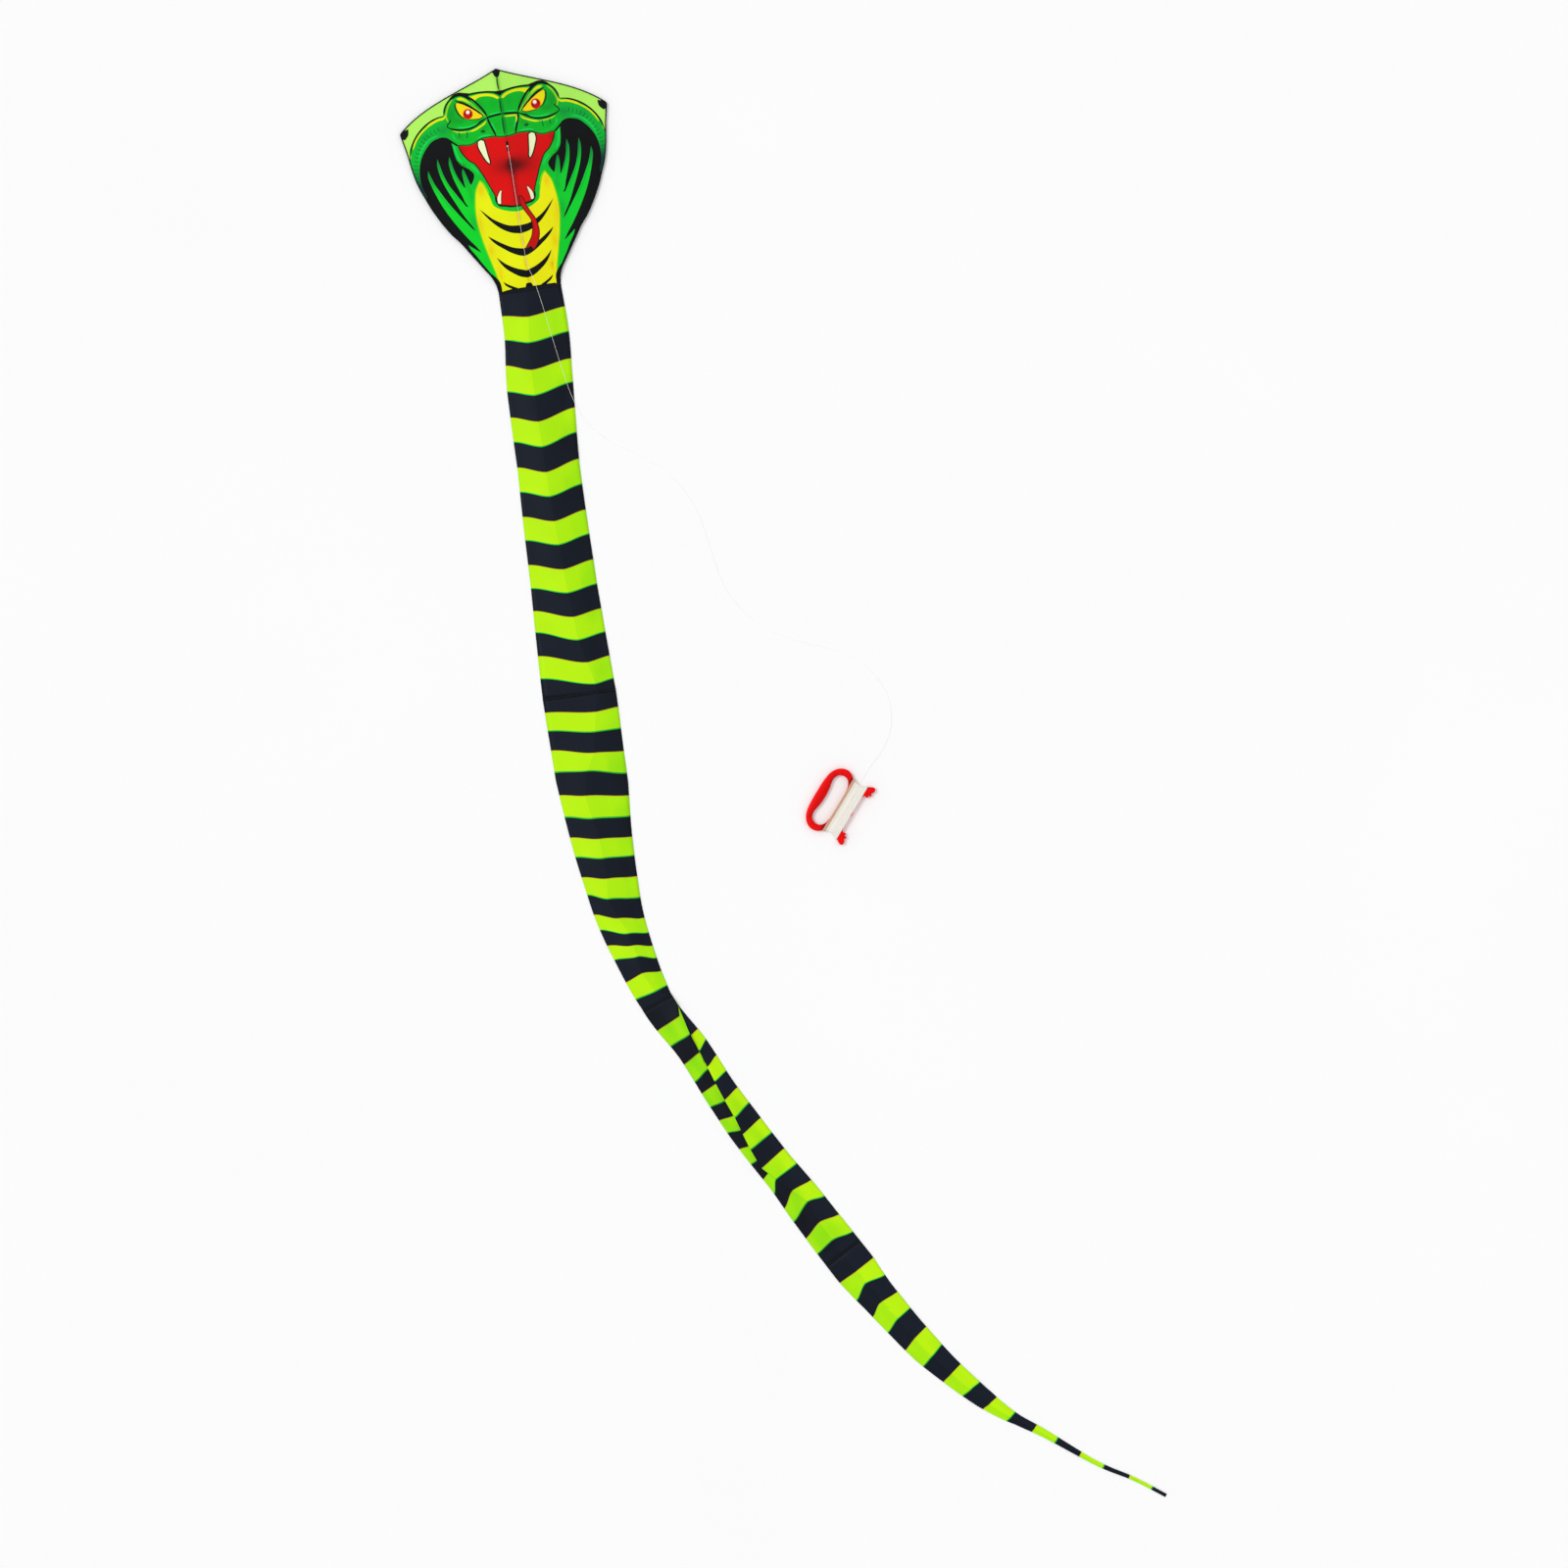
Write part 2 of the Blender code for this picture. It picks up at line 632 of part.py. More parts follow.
def surface_height(centre, x, y):
    """Height of the cloth's upper side under a point of the line, or of the floor."""
    if y > 0:
        return between(LINE_BED, y)
    place, _ = at_distance(centre, -y)
    half = between(TAIL_HALF_WIDTH, -y)
    share = abs(x - place.x) / half
    first_panel = math.sin(math.pi * min(-y / SEAMS[0], 1)) ** 0.8
    if share < 1:
        return TAIL_CLOTH + CROWNS[0] * first_panel * (1 - share)
    return max(0.0, TAIL_CLOTH * (1 - (share - 1) * 8))


def build_line(centre, body):
    """The free stretch of flying line, from the tow knot over the hood and tail to the winding."""
    route = smooth_curve([Vector(point) for point in LINE_ROUTE])
    full = length_of(route)
    curve = bpy.data.curves.new("flying_line", "CURVE")
    curve.dimensions = "3D"
    curve.bevel_depth = LINE_RADIUS
    curve.bevel_resolution = 2
    curve.use_fill_caps = True
    spline = curve.splines.new("POLY")
    spline.points.add(LINE_POINTS - 1)
    for index, point in enumerate(spline.points):
        place, _ = at_distance(route, full * index / (LINE_POINTS - 1))
        height = surface_height(centre, place.x, place.y) + LINE_RADIUS + LINE_CLEARANCE
        if TOW_Y - place.y < 0.020:
            height += TOW_PATCH[2] + 2 * EYELET_WIRE + 2 * GAP
        point.co = (place.x, place.y, height, 1)
    add("flying_line", curve, "line", body)


def main():
    for leftover in list(bpy.data.objects):
        bpy.data.objects.remove(leftover)
    for name in ("cobra_kite", "cutters"):
        bpy.context.scene.collection.children.link(bpy.data.collections.new(name))
    bpy.data.collections["cutters"].hide_render = True
    root = joint("kite_neck", None, (NECK_X, NECK_Y, 0))
    build_frame(root)
    build_centre(root)
    build_tow_point(root)
    droop = math.asin(TIP_DROP / (HOOD_SIDE[0][0] * GRID))
    for name, side in (("left", -1), ("right", 1)):
        hinge = joint(f"{name}_wing_hinge", root, (0, 0, SAIL_Z), (0, side * droop, 0))
        build_wing(name, side, hinge)
    centre = build_tail(root)
    winder = joint("winder_lift", root, (*WINDER_PLACE, 0), (0, 0, WINDER_TURN))
    build_winder(winder)
    build_line(centre, root)


main()
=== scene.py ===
"""Looks of the cobra kite: printed hood, striped tail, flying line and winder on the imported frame.

Metres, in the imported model's frame. The kite lies on its back with its nose towards +Y. Places on the
kite are given from the neck, where hood and tail are sewn together. The hood's print is set out in
squares of 3 mm: the first number is right of the spine, the second down from the nose.
"""

import json
import math

import bpy
from mathutils import Matrix, Vector, kdtree, noise
from mathutils.geometry import delaunay_2d_cdt

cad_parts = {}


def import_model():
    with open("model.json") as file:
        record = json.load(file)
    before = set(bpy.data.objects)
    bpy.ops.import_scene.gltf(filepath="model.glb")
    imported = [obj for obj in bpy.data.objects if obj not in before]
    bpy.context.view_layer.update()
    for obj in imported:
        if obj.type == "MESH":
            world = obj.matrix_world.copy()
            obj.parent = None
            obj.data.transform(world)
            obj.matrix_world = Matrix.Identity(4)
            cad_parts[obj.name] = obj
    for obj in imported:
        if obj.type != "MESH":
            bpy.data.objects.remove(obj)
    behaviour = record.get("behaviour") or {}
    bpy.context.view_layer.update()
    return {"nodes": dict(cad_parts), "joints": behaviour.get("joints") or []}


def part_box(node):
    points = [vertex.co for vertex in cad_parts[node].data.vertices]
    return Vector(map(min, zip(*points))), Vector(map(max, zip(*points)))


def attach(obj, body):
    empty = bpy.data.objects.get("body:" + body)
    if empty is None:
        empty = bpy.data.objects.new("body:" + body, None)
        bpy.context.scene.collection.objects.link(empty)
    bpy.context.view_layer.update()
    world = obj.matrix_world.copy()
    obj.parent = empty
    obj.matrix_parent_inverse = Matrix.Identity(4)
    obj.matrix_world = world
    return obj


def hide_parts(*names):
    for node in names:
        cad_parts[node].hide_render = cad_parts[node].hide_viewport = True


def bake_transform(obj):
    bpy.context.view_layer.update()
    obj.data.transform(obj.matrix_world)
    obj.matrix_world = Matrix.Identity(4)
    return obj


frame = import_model()

# Places read from the frame
JOINTS = {entry["name"]: entry for entry in frame["joints"]}
NECK = Vector(JOINTS["left_wing_fold"]["pos_m"])
TOW = sum(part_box("tow_eyelet"), Vector()) / 2

SIDES = (("left", -1), ("right", 1))

# Camera: straight above, turned so that the kite's tail leans to the right
CAMERA_HEIGHT = 13.333
CAMERA_LENS = 100
CAMERA_PLACE = (0.0148, 0.0204)
CAMERA_TURN = math.radians(-8.82)

# Studio: an even surround and one broad sun, over a wide floor
SURROUND_STRENGTH = 0.78
SUN_STRENGTH = 0.95
SUN_SPREAD = math.radians(18)
SUN_TILT = math.radians(38)
SUN_BEARING = math.radians(240)
FLOOR_REACH = 60

# How strongly the cloth, plastic and line mirror what is round them
SPECULAR = 0.12

# Hood
SQUARE = 0.003
NOSE_SQUARE = 225
HOOD_EDGE = [
    (0, -1), (105, 48.6), (106.3, 50.6), (106, 54), (105, 60), (103, 70), (101.5, 80), (100, 90),
    (98, 100), (95, 110), (91, 120), (87, 130), (82, 140), (76.5, 150), (70, 160), (62, 170),
    (55.5, 180), (49, 190), (42.5, 200), (36, 210), (33, 218), (32, 226),
]  # fmt: skip
HALF_SPAN = 0.318
TIP_DROP = 0.0015
NECK_SLOPE = [(0.0, 0.0012), (0.006, 0.0020), (0.021, 0.0052), (0.035, 0.0074), (0.052, 0.0085)]
CLOTH = 0.0002
BINDING_WIDTH = 0.0034
SPINE_WELT = 0.5
PRINT_MESH = 3

# Tail: centre line and half width against distance from the neck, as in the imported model
TAIL_PATH = [
    (0, 0), (-0.001, -0.150), (-0.015, -0.306), (-0.029, -0.605), (-0.036, -0.906), (-0.041, -1.266),
    (-0.043, -1.626), (-0.036, -1.806), (-0.017, -1.986), (0.049, -2.218),
    (0.136, -2.377), (0.208, -2.541), (0.291, -2.700), (0.379, -2.855),
    (0.495, -3.066), (0.586, -3.222), (0.720, -3.421), (0.881, -3.601),
    (1.024, -3.710), (1.165, -3.822), (1.268, -3.885), (1.358, -3.951),
]  # fmt: skip
TAIL_HALF_WIDTH = [
    (0, 0.096), (0.3, 0.102), (0.54, 0.095), (0.9, 0.101), (1.26, 0.113), (1.5, 0.109),
    (1.62, 0.097), (1.8, 0.081), (1.92, 0.0705), (2.1, 0.0585), (2.22, 0.0505),
    (2.4, 0.0495), (2.58, 0.051), (2.7, 0.0555), (2.88, 0.0555), (3.0, 0.0615),
    (3.12, 0.064), (3.24, 0.065), (3.36, 0.056), (3.48, 0.051), (3.6, 0.047),
    (3.72, 0.0375), (3.84, 0.030), (3.96, 0.016), (4.08, 0.011), (4.2, 0.0075),
    (4.32, 0.006), (4.5, 0.005),
]  # fmt: skip
SEAMS = (1.254, 2.235, 3.189)
SEAM_BANDS = (0.076, 0.045, 0.050, 0.057)
TIP_BAND = 0.046
STRIPES = 15
PIPING = 0.0036
FLOOR_LIFT = 0.0009
TUCK_START = 2.24
TUCK_END = 3.15

# How the tail lies. At each distance: how far down the tail its left edge, the left and right sides of its
# crease and its right edge lie, and the height of the crease's left and right sides. Between 2.3 m and
# 2.9 m the crease is a tuck, whose two sides are a stripe apart.
TAIL_DRAPE = [
    (-0.01, 0, 0, 0, 0, 0.001, 0.001),
    (0.08, -0.004, 0.011, 0.011, -0.004, 0.004, 0.004),
    (0.23, 0.008, 0.025, 0.025, -0.006, 0.008, 0.008),
    (0.45, 0.012, 0.036, 0.036, 0.002, 0.009, 0.009),
    (0.61, 0.014, 0.039, 0.039, 0.012, 0.009, 0.009),
    (0.91, 0.007, 0.036, 0.036, 0.020, 0.008, 0.008),
    (1.06, -0.009, 0.032, 0.032, 0.018, 0.007, 0.007),
    (1.21, -0.018, 0.021, 0.021, 0.012, 0.004, 0.004),
    (1.254, 0, 0, 0, 0, 0.002, 0.002),
    (1.30, -0.005, 0.015, 0.015, 0.009, 0.003, 0.003),
    (1.42, -0.006, 0.020, 0.020, 0.028, 0.005, 0.005),
    (1.48, 0.005, 0.014, 0.014, 0.040, 0.005, 0.005),
    (1.60, 0.026, 0.044, 0.044, 0.055, 0.007, 0.007),
    (1.77, 0.031, 0.052, 0.052, 0.064, 0.007, 0.007),
    (1.89, 0.030, 0.060, 0.060, 0.085, 0.006, 0.006),
    (1.95, 0.018, 0.056, 0.056, 0.076, 0.006, 0.006),
    (2.07, -0.004, 0.013, 0.013, 0.041, 0.006, 0.006),
    (2.13, 0.012, 0.006, 0.006, 0.024, 0.005, 0.005),
    (2.185, 0.011, 0.017, 0.017, 0.017, 0.004, 0.004),
    (2.235, 0, 0, 0, 0, 0.002, 0.002),
    (2.285, 0.016, 0.023, -0.045, -0.045, 0.010, 0.003),
    (2.34, 0.023, 0.032, -0.070, -0.070, 0.013, 0.003),
    (2.40, 0.040, 0.034, -0.020, -0.022, 0.012, 0.004),
    (2.455, 0.050, 0.036, -0.025, -0.042, 0.008, 0.009),
    (2.51, 0.032, 0.029, -0.029, -0.044, 0.004, 0.014),
    (2.57, 0.024, 0.034, -0.035, -0.043, 0.003, 0.017),
    (2.68, 0.004, 0.021, -0.021, -0.032, 0.002, 0.018),
    (2.79, 0.010, 0.012, -0.027, -0.029, 0.002, 0.013),
    (2.85, 0.010, 0.005, -0.020, -0.024, 0.003, 0.010),
    (2.905, 0.012, -0.021, -0.021, -0.019, 0.007, 0.007),
    (3.02, 0.004, -0.020, -0.020, -0.002, 0.006, 0.006),
    (3.13, 0.013, 0.007, 0.007, 0.025, 0.004, 0.004),
    (3.189, 0, 0, 0, 0, 0.002, 0.002),
    (3.25, 0.009, 0.012, 0.012, 0.012, 0.004, 0.004),
    (3.32, 0.006, -0.018, -0.018, 0.001, 0.006, 0.006),
    (3.48, -0.013, -0.025, -0.025, -0.025, 0.006, 0.006),
    (3.63, -0.020, -0.023, -0.023, -0.026, 0.005, 0.005),
    (3.78, -0.026, -0.020, -0.020, -0.013, 0.004, 0.004),
    (3.86, -0.033, -0.026, -0.026, -0.020, 0.004, 0.004),
    (4.09, -0.022, -0.022, -0.022, -0.022, 0.003, 0.003),
    (4.32, -0.004, -0.004, -0.004, -0.004, 0.002, 0.002),
    (4.44, 0, 0, 0, 0, 0.001, 0.001),
]  # fmt: skip
# Where the crease runs: distance, and its place from -1 at the left edge to 1 at the right
TAIL_CREASE = [
    (0.00, -0.10), (0.17, -0.26), (0.33, -0.18), (0.65, -0.06), (0.94, 0.10), (1.09, 0.20), (1.16, 0.35),
    (1.23, 0.48), (1.31, 0.38), (1.43, 0.20), (1.49, -0.08), (1.57, -0.26), (1.70, -0.06), (1.82, -0.08),
    (1.88, -0.24), (2.00, 0.14), (2.08, 0.15), (2.13, 0.00), (2.20, 0.20), (2.235, 1.00), (2.275, 1.00),
    (2.308, 0.66), (2.37, 0.42), (2.43, 0.24), (2.60, -0.04), (2.66, -0.14), (2.76, -0.50), (2.83, -0.66),
    (2.885, -0.42), (2.94, -0.10), (3.00, 0.20), (3.07, 0.00), (3.26, 0.00), (3.38, -0.20), (3.45, 0.00),
    (4.44, 0.00),
]  # fmt: skip

# Winder, on a grid of 0.7 mm squares: first number along it, second towards its horns
WINDER_GRID = 0.0007
WINDER_PLACE = (0.698, -1.714)
WINDER_TURN = math.radians(230.2)
WINDER_MIDDLE = 0.0094
WINDER_HALF = 0.006
WINDER_ROUNDING = 0.0068
WINDER_SIDE = [
    (-60, -122.5), (-100, -116), (-128, -101), (-144, -82), (-151, -57), (-148, -40), (-140, -25),
    (-127, -12), (-118, 4), (-115, 20), (-120, 38), (-130, 56), (-141, 72), (-145, 82), (-141, 91),
    (-131, 94), (-122, 91), (-116, 86), (-109, 91), (-102, 89), (-102, 82), (-106, 75), (-98, 81),
    (-91, 80), (-91, 69), (-92, 64), (-82, 59),
]  # fmt: skip
WINDER_WAIST = [(-45, 57), (-8, 57.5), (6, 61.5), (20, 57.5), (50, 57)]
WINDER_OUTLINE = [(0, -124), *WINDER_SIDE, *WINDER_WAIST, *[(-x, y) for x, y in WINDER_SIDE[::-1]]]
GAP_SIDE = [
    (-45, -83), (-82, -89), (-104, -83), (-117, -68), (-120, -52), (-114, -35), (-100, -23), (-80, -17.5),
]  # fmt: skip
FINGER_GAP = [(0, -79.5), *GAP_SIDE, *[(-x, y) for x, y in GAP_SIDE[::-1]]]

# Flying line: the free stretch's route, then layers of turns round the winder's waist
LINE_RADIUS = 0.00045
LINE_ROUTE = [
    (0.0005, 0.4360), (0.001, 0.405), (0.0012, 0.340), (0.0013, 0.270), (0.0014, 0.200),
    (0.0018, 0.130), (0.0021, 0.100), (0.0031, 0.080), (0.0078, 0.055), (0.017, 0.020),
    (0.031, -0.060), (0.045, -0.160), (0.060, -0.260), (0.078, -0.352), (0.108, -0.430),
    (0.170, -0.500), (0.255, -0.560), (0.345, -0.640), (0.400, -0.750), (0.425, -0.880),
    (0.455, -1.010), (0.530, -1.120), (0.640, -1.190), (0.755, -1.240), (0.845, -1.310),
    (0.890, -1.400), (0.888, -1.490), (0.852, -1.560), (0.8048, -1.6078), (0.7792, -1.6385),
    (0.7627, -1.6583),
]  # fmt: skip
LINE_POINTS = 240
LINE_GAP = 0.0004
WINDING_ENDS = [(-11, 131), (0, 124), (10, 120), (20, 119), (31, 121.5), (44, 127.5), (57, 134)]
WINDING_REACH = (-15.5, 57.4)
# Each layer: first and last square across the waist, height over the moulding, number of turns
WINDING_LAYERS = [(20, 56, 0.0021, 28), (56, -15, 0.0013, 58), (-15, 57, 0.0005, 58)]


# ---------------------------------------------------------------- lines and shapes
def world(x, y, z=0.0):
    """A place given from the neck, in the frame."""
    return Vector((NECK.x + x, NECK.y + y, z))


def smooth_curve(points, steps=24):
    """Points on a Catmull-Rom curve through the given ones."""
    ends = [points[0] * 2 - points[1], *points, points[-1] * 2 - points[-2]]
    found = []
    for index in range(1, len(ends) - 2):
        before, first, second, after = ends[index - 1 : index + 3]
        for step in range(steps):
            t = step / steps
            found.append(
                0.5
                * (
                    2 * first
                    + (second - before) * t
                    + (2 * before - 5 * first + 4 * second - after) * t**2
                    + (3 * first - before - 3 * second + after) * t**3
                )
            )
    return [*found, points[-1]]


def length_of(points):
    return sum((second - first).length for first, second in zip(points, points[1:]))


def spread(points, count):
    """Places and directions at equal steps along a line of points."""
    full = length_of(points)
    found = []
    travelled = 0.0
    index = 0
    for step in range(count):
        wanted = full * step / (count - 1)
        while index < len(points) - 2 and travelled + (points[index + 1] - points[index]).length < wanted:
            travelled += (points[index + 1] - points[index]).length
            index += 1
        first, second = points[index], points[index + 1]
        share = (wanted - travelled) / (second - first).length
        found.append((first.lerp(second, min(share, 1.0)), (second - first).normalized()))
    return found


def between(table, at, column=1):
    """The table's value at a distance, straight between its rows."""
    for first, second in zip(table, table[1:]):
        if at <= second[0]:
            share = max(0.0, (at - first[0]) / (second[0] - first[0]))
            return first[column] + (second[column] - first[column]) * share
    return table[-1][column]


def rounded(points, closed=True, step=1.7, sharp=0.62):
    """A line through the points that curves at them, except where its turn is sharper than that cosine."""
    points = [Vector(point) for point in points]
    count = len(points)

    def heading(index):
        if not closed and index in (0, count - 1):
            return None
        first = (points[index] - points[index - 1]).normalized()
        second = (points[(index + 1) % count] - points[index]).normalized()
        return (first + second).normalized() if first.dot(second) > sharp else None

    found = []
    for index in range(count if closed else count - 1):
        start, end = points[index], points[(index + 1) % count]
        chord = end - start
        leaving, arriving = heading(index), heading((index + 1) % count)
        straight = leaving is None and arriving is None
        pieces = 1 if straight else max(2, math.ceil(chord.length / step))
        leaving = (leaving or chord.normalized()) * chord.length
        arriving = (arriving or chord.normalized()) * chord.length
        for piece in range(pieces):
            t = piece / pieces
            found.append(
                start * (2 * t**3 - 3 * t**2 + 1)
                + leaving * (t**3 - 2 * t**2 + t)
                + end * (3 * t**2 - 2 * t**3)
                + arriving * (t**3 - t**2)
            )
    return found if closed else [*found, points[-1]]


def normals_of(line, closed=False):
    """The sideways direction at each point of a flat line, to the right of its way."""
    found = []
    for index in range(len(line)):
        before = line[index - 1] if closed or index else line[0]
        after = line[(index + 1) % len(line)] if closed else line[min(index + 1, len(line) - 1)]
        along = (after - before).normalized()
        found.append(Vector((along.y, -along.x)))
    return found


def area_of(outline):
    return sum(a.x * b.y - b.x * a.y for a, b in zip(outline, outline[1:] + outline[:1])) / 2


def grown(outline, distance):
    """The closed outline moved outwards."""
    outward = distance if area_of(outline) > 0 else -distance
    return [point + side * outward for point, side in zip(outline, normals_of(outline, True))]


def stroke(points, width):
    """The outline of a pen line that tapers to both its ends."""
    line = rounded(points, closed=False)
    full = length_of(line)
    left, right = [], []
    travelled = 0.0
    for index, (point, side) in enumerate(zip(line, normals_of(line))):
        travelled += (point - line[index - 1]).length if index else 0.0
        t = travelled / full
        half = width / 2 * min(1.0, 0.3 + 4 * t, 0.3 + 4 * (1 - t))
        left.append(point + side * half)
        right.append(point - side * half)
    return left + right[::-1]


def circle(x, y, radius, height=None, count=20):
    height = height or radius
    turns = [math.tau * index / count for index in range(count)]
    return [Vector((x + radius * math.cos(turn), y + height * math.sin(turn))) for turn in turns]


# ---------------------------------------------------------------- mesh helpers
def mesh_piece(name, points, faces, materials, chosen=None):
    """A named mesh with its materials, shaded smooth; chosen gives each face's material."""
    mesh = bpy.data.meshes.new(name)
    mesh.from_pydata(points, [], faces)
    for made in materials:
        mesh.materials.append(made)
    if chosen:
        mesh.polygons.foreach_set("material_index", chosen)
    mesh.polygons.foreach_set("use_smooth", [True] * len(mesh.polygons))
    mesh.update()
    piece = bpy.data.objects.new(name, mesh)
    bpy.context.scene.collection.objects.link(piece)
    return piece


def set_cloth_map(piece, places):
    """A flat map of the cloth in metres, one place for each vertex, that its weave follows."""
    layer = piece.data.uv_layers.new(name="cloth")
    for loop in piece.data.loops:
        layer.data[loop.index].uv = places[loop.vertex_index]


def set_shade(piece, values):
    piece.data.attributes.new("shade", "FLOAT", "POINT").data.foreach_set("value", values)


def thicken(piece, thickness=CLOTH):
    solidify = piece.modifiers.new("cloth", "SOLIDIFY")
    solidify.thickness = thickness
    solidify.offset = 0


def sweep(name, path, ups, profile, made, closed=False):
    """A section of (sideways, up) points carried along a path, with its ends filled."""
    points, faces = [], []
    count = len(profile)
    for index, place in enumerate(path):
        before = path[index - 1] if closed or index else path[0]
        after = path[(index + 1) % len(path)] if closed else path[min(index + 1, len(path) - 1)]
        along = (after - before).normalized()
        sideways = along.cross(ups[index]).normalized()
        up = sideways.cross(along)
        points += [place + sideways * x + up * z for x, z in profile]
    rings = len(path)
    for ring in range(rings if closed else rings - 1):
        start, other = ring * count, (ring + 1) % rings * count
        for corner in range(count):
            after = (corner + 1) % count
            faces.append((start + corner, start + after, other + after, other + corner))
    if not closed:
        faces.append(tuple(range(count))[::-1])
        faces.append(tuple(range((rings - 1) * count, rings * count)))
    return mesh_piece(name, points, faces, [made])


def round_section(radius, count=6):
    turns = [math.tau * index / count for index in range(count)]
    return [(radius * math.cos(turn), radius * math.sin(turn)) for turn in turns]


def stitches(name, path, made, length=0.0026, gap=0.0012, width=0.00045, lift=0.0003):
    """A row of sewing stitches along a line, each a small raised bead of thread."""
    points, faces = [], []
    count = max(3, round(length_of(path) / (length + gap)))
    for place, along in spread(path, count)[:-1]:
        sideways = along.cross(Vector((0, 0, 1))).normalized()
        start = len(points)
        middle = place + along * (length / 2) + Vector((0, 0, lift))
        points.append(middle - along * (length / 2))
        for x, z in ((1, 0), (0, 1), (-1, 0), (0, -1)):
            points.append(middle + sideways * (x * width / 2) + Vector((0, 0, z * width / 2)))
        points.append(middle + along * (length / 2))
        for corner in range(4):
            after = (corner + 1) % 4
            faces.append((start, start + 1 + after, start + 1 + corner))
            faces.append((start + 5, start + 1 + corner, start + 1 + after))
    return mesh_piece(name, points, faces, [made])


# ---------------------------------------------------------------- materials
def linear(colour):
    """A print colour given from 0 to 255, as the shader wants it."""
    return (*[(part / 255) ** 2.2 for part in colour], 1.0)


def node(tree, kind, sockets, **settings):
    """A node with its settings, and its sockets set to values or linked."""
    made = tree.nodes.new(kind)
    for key, value in settings.items():
        setattr(made, key, value)
    for key, value in sockets.items():
        if isinstance(value, bpy.types.NodeSocket):
            tree.links.new(value, made.inputs[key])
        else:
            made.inputs[key].default_value = value
    return made


def maths(tree, operation, first, second=0.0, third=0.0):
    sockets = {0: first, 1: second, 2: third}
    return node(tree, "ShaderNodeMath", sockets, operation=operation).outputs[0]


def mix(tree, share, first, second, blend="MIX"):
    sockets = {0: share, 6: first, 7: second}
    return node(tree, "ShaderNodeMix", sockets, data_type="RGBA", blend_type=blend).outputs[2]


def spots(tree, place, scale, detail=3.0):
    """Soft random patches, from 0 to 1."""
    return node(tree, "ShaderNodeTexNoise", {"Vector": place, "Scale": scale, "Detail": detail}).outputs[0]


def threads(tree, place, period, direction):
    """Ridges of that period in metres, from 0 to 1."""
    sockets = {"Vector": place, "Scale": math.tau / (20 * period)}
    return node(tree, "ShaderNodeTexWave", sockets, bands_direction=direction).outputs[1]


def new_material(name, colour, roughness, **shine):
    """A material's tree and shader, with the values that are the same all over it."""
    made = bpy.data.materials.new(name)
    made.use_nodes = True
    shader = made.node_tree.nodes["Principled BSDF"]
    shader.inputs["Base Color"].default_value = linear(colour)
    shader.inputs["Roughness"].default_value = roughness
    shader.inputs["Specular IOR Level"].default_value = SPECULAR
    for key, value in shine.items():
        shader.inputs[key.replace("_", " ")].default_value = value
    return made, made.node_tree, shader


def raise_surface(tree, shader, height, distance, strength=0.6):
    sockets = {"Height": height, "Distance": distance, "Strength": strength}
    tree.links.new(node(tree, "ShaderNodeBump", sockets).outputs[0], shader.inputs["Normal"])


def ripstop(name, colour, dark=None, roughness=0.46, uneven=0.10):
    """Dyed ripstop: fine plain weave, a heavier thread every 5 mm, slightly uneven dye."""
    made, tree, shader = new_material(name, colour, roughness)
    cloth = node(tree, "ShaderNodeUVMap", {}, uv_map="cloth").outputs[0]
    place = node(tree, "ShaderNodeTexCoord", {}).outputs["Object"]
    fine = maths(tree, "MULTIPLY", threads(tree, cloth, 0.0004, "X"), threads(tree, cloth, 0.0004, "Y"))
    across = maths(tree, "POWER", threads(tree, cloth, 0.005, "X"), 40)
    along = maths(tree, "POWER", threads(tree, cloth, 0.005, "Y"), 40)
    heavy = maths(tree, "MAXIMUM", across, along)
    worn = spots(tree, place, 9.0)
    dyed = maths(tree, "MULTIPLY_ADD", worn, uneven * 2, 1.0 - uneven)
    level = maths(tree, "SUBTRACT", dyed, maths(tree, "MULTIPLY", heavy, 0.07))
    grey = node(tree, "ShaderNodeCombineColor", {0: level, 1: level, 2: level}).outputs[0]
    # The shade attribute darkens the colour towards the dark one: shading in the hood's print, and painted
    # shade on the hood's right half and on the tail.
    shade = node(tree, "ShaderNodeAttribute", {}, attribute_name="shade").outputs["Fac"]
    ground = mix(tree, shade, linear(colour), linear(dark or [part * 0.6 for part in colour]))
    tree.links.new(mix(tree, 1.0, ground, grey, "MULTIPLY"), shader.inputs["Base Color"])
    creases = maths(tree, "MULTIPLY", spots(tree, place, 35.0, 4.0), 3.0)
    height = maths(tree, "ADD", maths(tree, "MULTIPLY", fine, 0.25), maths(tree, "ADD", heavy, creases))
    raise_surface(tree, shader, height, 0.00012)
    return made


def woven(name, colour, period=0.0009, roughness=0.72):
    """Narrow woven tape: ribs across and along, and paler where it is rubbed."""
    made, tree, shader = new_material(name, colour, roughness)
    place = node(tree, "ShaderNodeTexCoord", {}).outputs["Object"]
    ribs = maths(tree, "MULTIPLY", threads(tree, place, period, "X"), threads(tree, place, period, "Y"))
    rubbed = maths(tree, "MULTIPLY", spots(tree, place, 60.0, 5.0), maths(tree, "ADD", ribs, 0.3))
    lighter = [min(255, part * 1.4 + 14) for part in colour]
    tree.links.new(mix(tree, rubbed, linear(colour), linear(lighter)), shader.inputs["Base Color"])
    raise_surface(tree, shader, ribs, 0.0002)
    return made


